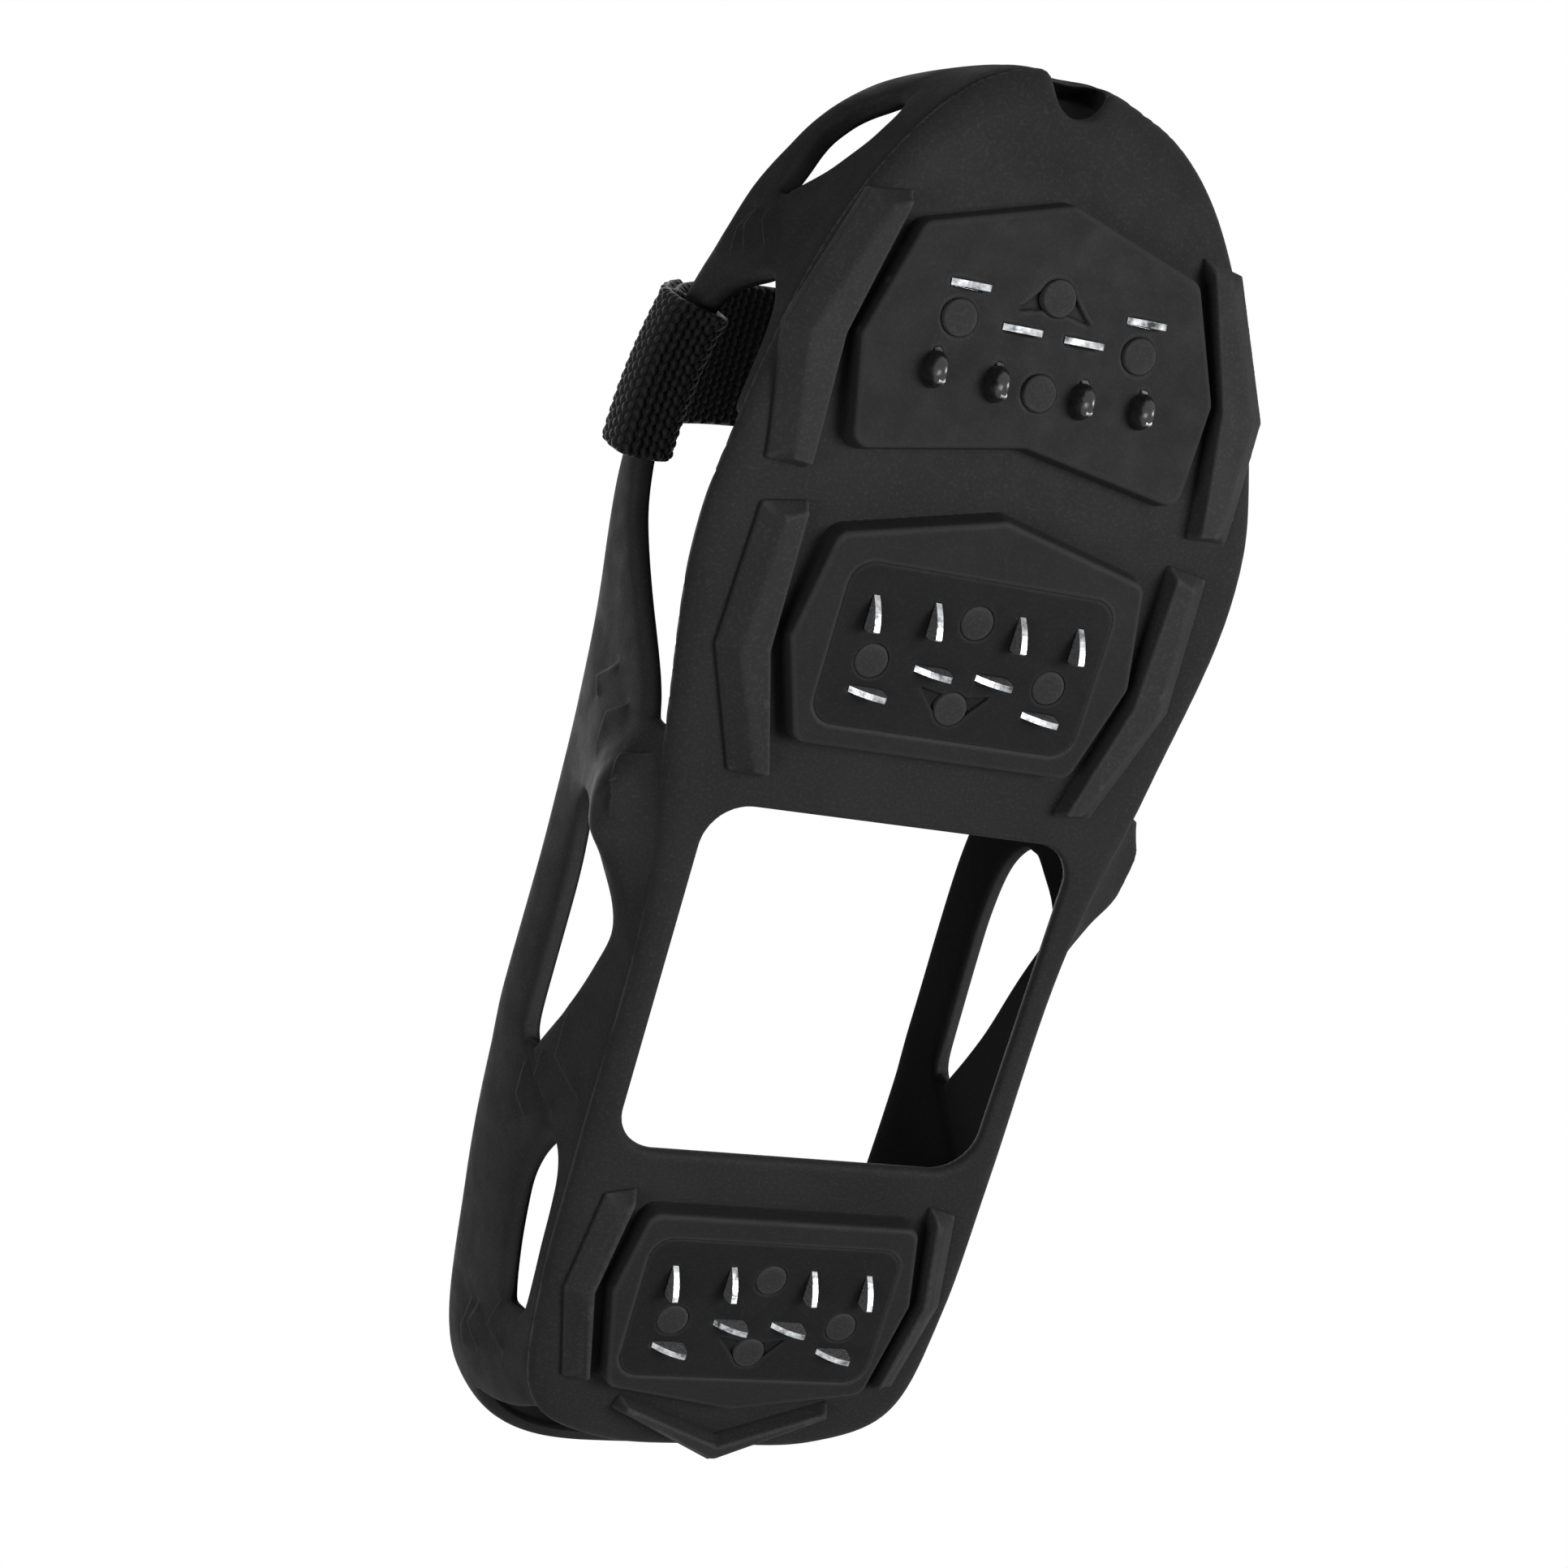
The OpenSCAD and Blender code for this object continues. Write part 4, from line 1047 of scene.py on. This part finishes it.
# %% [markdown]
# ## Hook and loop, and stitching
# The tail closes on itself: a soft loop patch is sewn to the strap and a stiff hook patch to the tail.
# The loop side is a matted pile, so its skin is pushed about by overlapping waves of different length.
# The hook side is a thin tape with rows of small bent hooks. Thread shows as short raised stitches.

# %% Loop pile
PATCH_W, TAPE_T = 26.0, 0.8
LOOP_FROM, LOOP_TO, LOOP_OFF = 95.0, 165.15, 1.45
WAVES = ((5.1, 3.7, 0), (-4.3, 5.9, 1.3), (7.7, -2.9, 2.1), (2.3, 8.1, 0.7), (-9.1, -4.4, 2.9))


def pile_patch(pitch=0.45, columns=58):
    length = arch_length(LOOP_OFF, LOOP_FROM, LOOP_TO)
    rows = int(length / pitch)
    v, w = strip_grid(rows, columns, PATCH_W)
    surface = arch_surface(LOOP_OFF, TAPE_T, LOOP_FROM, LOOP_TO)
    edge = np.clip(np.minimum(PATCH_W / 2 - np.abs(w), np.minimum(v, 1 - v) * length) / 0.8, 0, 1)
    matted = 0.07 * sum(np.sin(v * length * a + w * b + c) for a, b, c in WAVES)
    top = surface(v, w, 0.5 + 0.4 * edge + matted * edge)
    return np.vstack([top, surface(v, w, 0.0)]), strip_faces(rows, columns)


make_piece("loop_pile", *pile_patch(), loop_face, "harness", "hook_and_loop", ["loop_patch"])

# %% Hook tape
HOOK_FROM, HOOK_TO, HOOK_OFF = 107.0, 160.4, 2.55
HOOK_LINE = [(0, 0.62), (0, 0.35), (0.08, 0.16), (0.26, 0.06), (0.42, 0.14), (0.46, 0.26)]


def bent_hook(v, w, surface, length, lean, sides=5, r=0.13):
    rings = len(HOOK_LINE)
    run, depth = np.repeat(HOOK_LINE, sides, 0).T
    turn = np.arange(rings * sides) * 2 * math.pi / sides
    points = surface(v + (lean * run + r * np.cos(turn)) / length, w + r * np.sin(turn), depth)
    return points, tube_faces(rings, sides, [rings - 1])


def hook_tape(hook_rows=26, hook_columns=17, pitch=1.42, rows=60, columns=14):
    surface = arch_surface(HOOK_OFF, TAPE_T, HOOK_FROM, HOOK_TO)
    length = arch_length(HOOK_OFF, HOOK_FROM, HOOK_TO)
    v, w = strip_grid(rows, columns, PATCH_W)
    parts = [(np.vstack([surface(v, w, 1.0), surface(v, w, 0.6)]), strip_faces(rows, columns))]
    for i in range(hook_rows):
        for j in range(hook_columns):
            at, across = (i + 0.7) / (hook_rows + 0.4), (j - hook_columns / 2 + 0.5) * pitch
            parts.append(bent_hook(at, across, surface, length, lean=1 if (i + j) % 2 else -1))
    return joined(parts)


make_piece("hook_tape", *hook_tape(), hook_face, "strap_tail", "hook_and_loop", ["hook_patch"])

# %% Stitches
STITCH_PITCH, DEGREES_PER_MM = 2.6, math.degrees(1 / 47)
SEWN_FROM, SEWN_TO, SEWN_W = 9.0, 27.0, 12.0


def stitch(a, b, offset, half_w=0.34, high=0.3, rings=5, sides=6):
    """One raised stitch from a to b, both given as (arch angle, place across the strap)."""
    side = np.array([-(b - a)[1], (b - a)[0] * 0.8])
    side = side / max(np.linalg.norm(side * (0.8, 1)), 1e-6)
    t = np.repeat(np.linspace(0, 1, rings), sides)
    turn = np.arange(rings * sides) * 2 * math.pi / sides
    fat = np.sqrt(np.maximum(1 - (2 * t - 1) ** 2, 0.06))
    degrees, across = (a + np.outer(t, b - a) + np.outer(half_w * fat * np.cos(turn), side)).T
    points = arch_point(degrees, across, offset + high * fat * np.sin(turn))
    return points, tube_faces(rings, sides, (0, rings - 1))


def seam(start, end, offset):
    start, run = np.array(start), np.subtract(end, start)
    count = max(2, int(math.hypot(run[0] / DEGREES_PER_MM, run[1]) / STITCH_PITCH))
    return [stitch(start + run * (k + 0.1) / count, start + run * (k + 0.9) / count, offset)
            for k in range(count)]


def box_of(a, b, w):
    return [((a, -w), (b, -w)), ((b, -w), (b, w)), ((b, w), (a, w)), ((a, w), (a, -w))]


cross = [((SEWN_FROM, -SEWN_W), (SEWN_TO, SEWN_W)), ((SEWN_FROM, SEWN_W), (SEWN_TO, -SEWN_W))]
anchor_lines = box_of(SEWN_FROM, SEWN_TO, SEWN_W) + cross
tail_lines = box_of(HOOK_FROM + 1.5, HOOK_TO - 1.5, 11.6)
for name, lines, offset, body in (
        ("anchor_stitches", anchor_lines, STRAP_T * 1.5 + 0.12, "harness"),
        ("tail_stitches", tail_lines, TAIL_OFF + STRAP_T / 2 + 0.02, "strap_tail")):
    points, faces = joined(one for line in lines for one in seam(*line, offset))
    make_piece(name, points, faces, stitch_yarn, body, "webbing")

# %% [markdown]
# ## Stage, light and camera
# The photograph looks up at the sole, so the camera stands below the floor. The floor is pale where
# it is seen from above, turns white far out, and is clear from below. A large soft lamp stands below
# and to one side, a weaker one below and opposite, and one overhead for views from above. The world
# is white where it is seen or mirrored, and dimmer as a light.

# %% Floor
FLOOR_FADE = (0.3, 1.1)  # metres from the middle: lit and shaded ground, then plain white
FLOOR_HALF, FLOOR_Z = 4, -0.0003  # metres


def light_path_is(owner, *rays):
    path = add(owner, "ShaderNodeLightPath").outputs
    value = path[rays[0]]
    for ray in rays[1:]:
        value = calculate(owner, "MAXIMUM", value, path[ray])
    return value


def blended(owner, share, first, second):
    inputs = {0: share, 1: first.outputs[0], 2: second.outputs[0]}
    return add(owner, "ShaderNodeMixShader", inputs)


def pale_floor():
    mat = empty_tree(bpy.data.materials.new("pale_floor"))
    geometry = add(mat, "ShaderNodeNewGeometry").outputs
    far = add(mat, "ShaderNodeVectorMath", {0: geometry["Position"]}, "LENGTH").outputs["Value"]
    fade = spread(mat, far, *FLOOR_FADE, 0.0, 1.0)
    fade.node.interpolation_type = "SMOOTHSTEP"
    pale = add(mat, "ShaderNodeBsdfDiffuse", {"Color": (0.86, 0.86, 0.87, 1)})
    ground = blended(mat, fade, pale, add(mat, "ShaderNodeEmission"))
    camera_ray = light_path_is(mat, "Is Camera Ray")
    shown = calculate(mat, "SUBTRACT", camera_ray, geometry["Backfacing"])
    shown.node.use_clamp = True
    surface = blended(mat, shown, add(mat, "ShaderNodeBsdfTransparent"), ground)
    add(mat, "ShaderNodeOutputMaterial", {0: surface.outputs[0]})
    return mat


floor_mesh = bpy.data.meshes.new("floor")
corners = [(x * FLOOR_HALF, y * FLOOR_HALF, FLOOR_Z) for x, y in ((-1, -1), (1, -1), (1, 1), (-1, 1))]
floor_mesh.from_pydata(corners, [], [(0, 1, 2, 3)])
floor = bpy.data.objects.new("floor", floor_mesh)
scene.collection.objects.link(floor)
floor_mesh.materials.append(pale_floor())
print("floor:", 2 * FLOOR_HALF, "m wide")

# %% World
WHITE, AMBIENT = grey(1, 0), 0.15
world = empty_tree(bpy.data.worlds.new("studio"))
ambient = add(world, "ShaderNodeBackground", {"Color": WHITE, "Strength": AMBIENT})
seen = add(world, "ShaderNodeBackground", {"Color": WHITE})
bright = light_path_is(world, "Is Camera Ray", "Is Glossy Ray", "Is Transmission Ray")
add(world, "ShaderNodeOutputWorld", {0: blended(world, bright, ambient, seen).outputs[0]})
scene.world = world
scene.view_settings.view_transform = "Standard"
print("world:", world.name)

# %% Camera
# the columns of AXES point right, up, and back towards the camera
AXES = Matrix(((-0.9029, 0.1216, 0.4123), (0.2683, 0.9088, 0.3194), (-0.3358, 0.3990, -0.8532)))
lens = bpy.data.cameras.new("photo_camera")
lens.lens, lens.sensor_width, lens.clip_start = 63.25, 36.0, 0.01
camera = bpy.data.objects.new("photo_camera", lens)
camera.matrix_world = Matrix.Translation((0.24169, 0.18910, -0.43570)) @ AXES.to_4x4()
scene.collection.objects.link(camera)
scene.camera = camera
print("camera:", lens.lens, "mm lens")


# %% Lamps
def soft_lamp(name, offset, power, size):
    lamp = bpy.data.lights.new(name, "AREA")
    lamp.energy, lamp.size = power, size
    holder = bpy.data.objects.new(name, lamp)
    holder.location = Vector((0, 0, 0.03)) + offset
    holder.rotation_mode = "QUATERNION"
    holder.rotation_quaternion = (-offset).to_track_quat("-Z", "Y")
    holder.visible_camera = False
    scene.collection.objects.link(holder)


right, up, near = (AXES.col[k] for k in range(3))
soft_lamp("key", (right * 0.8 - up * 0.05 + near * 0.6).normalized() * 0.9, 8.0, 0.4)
soft_lamp("fill", (right * -0.55 - up * 0.2 + near * 0.8).normalized() * 1.0, 4.0, 0.5)
soft_lamp("overhead", Vector((-0.15, -0.25, 1.1)), 11.0, 0.9)
print("lamps:", [lamp.name for lamp in bpy.data.lights])
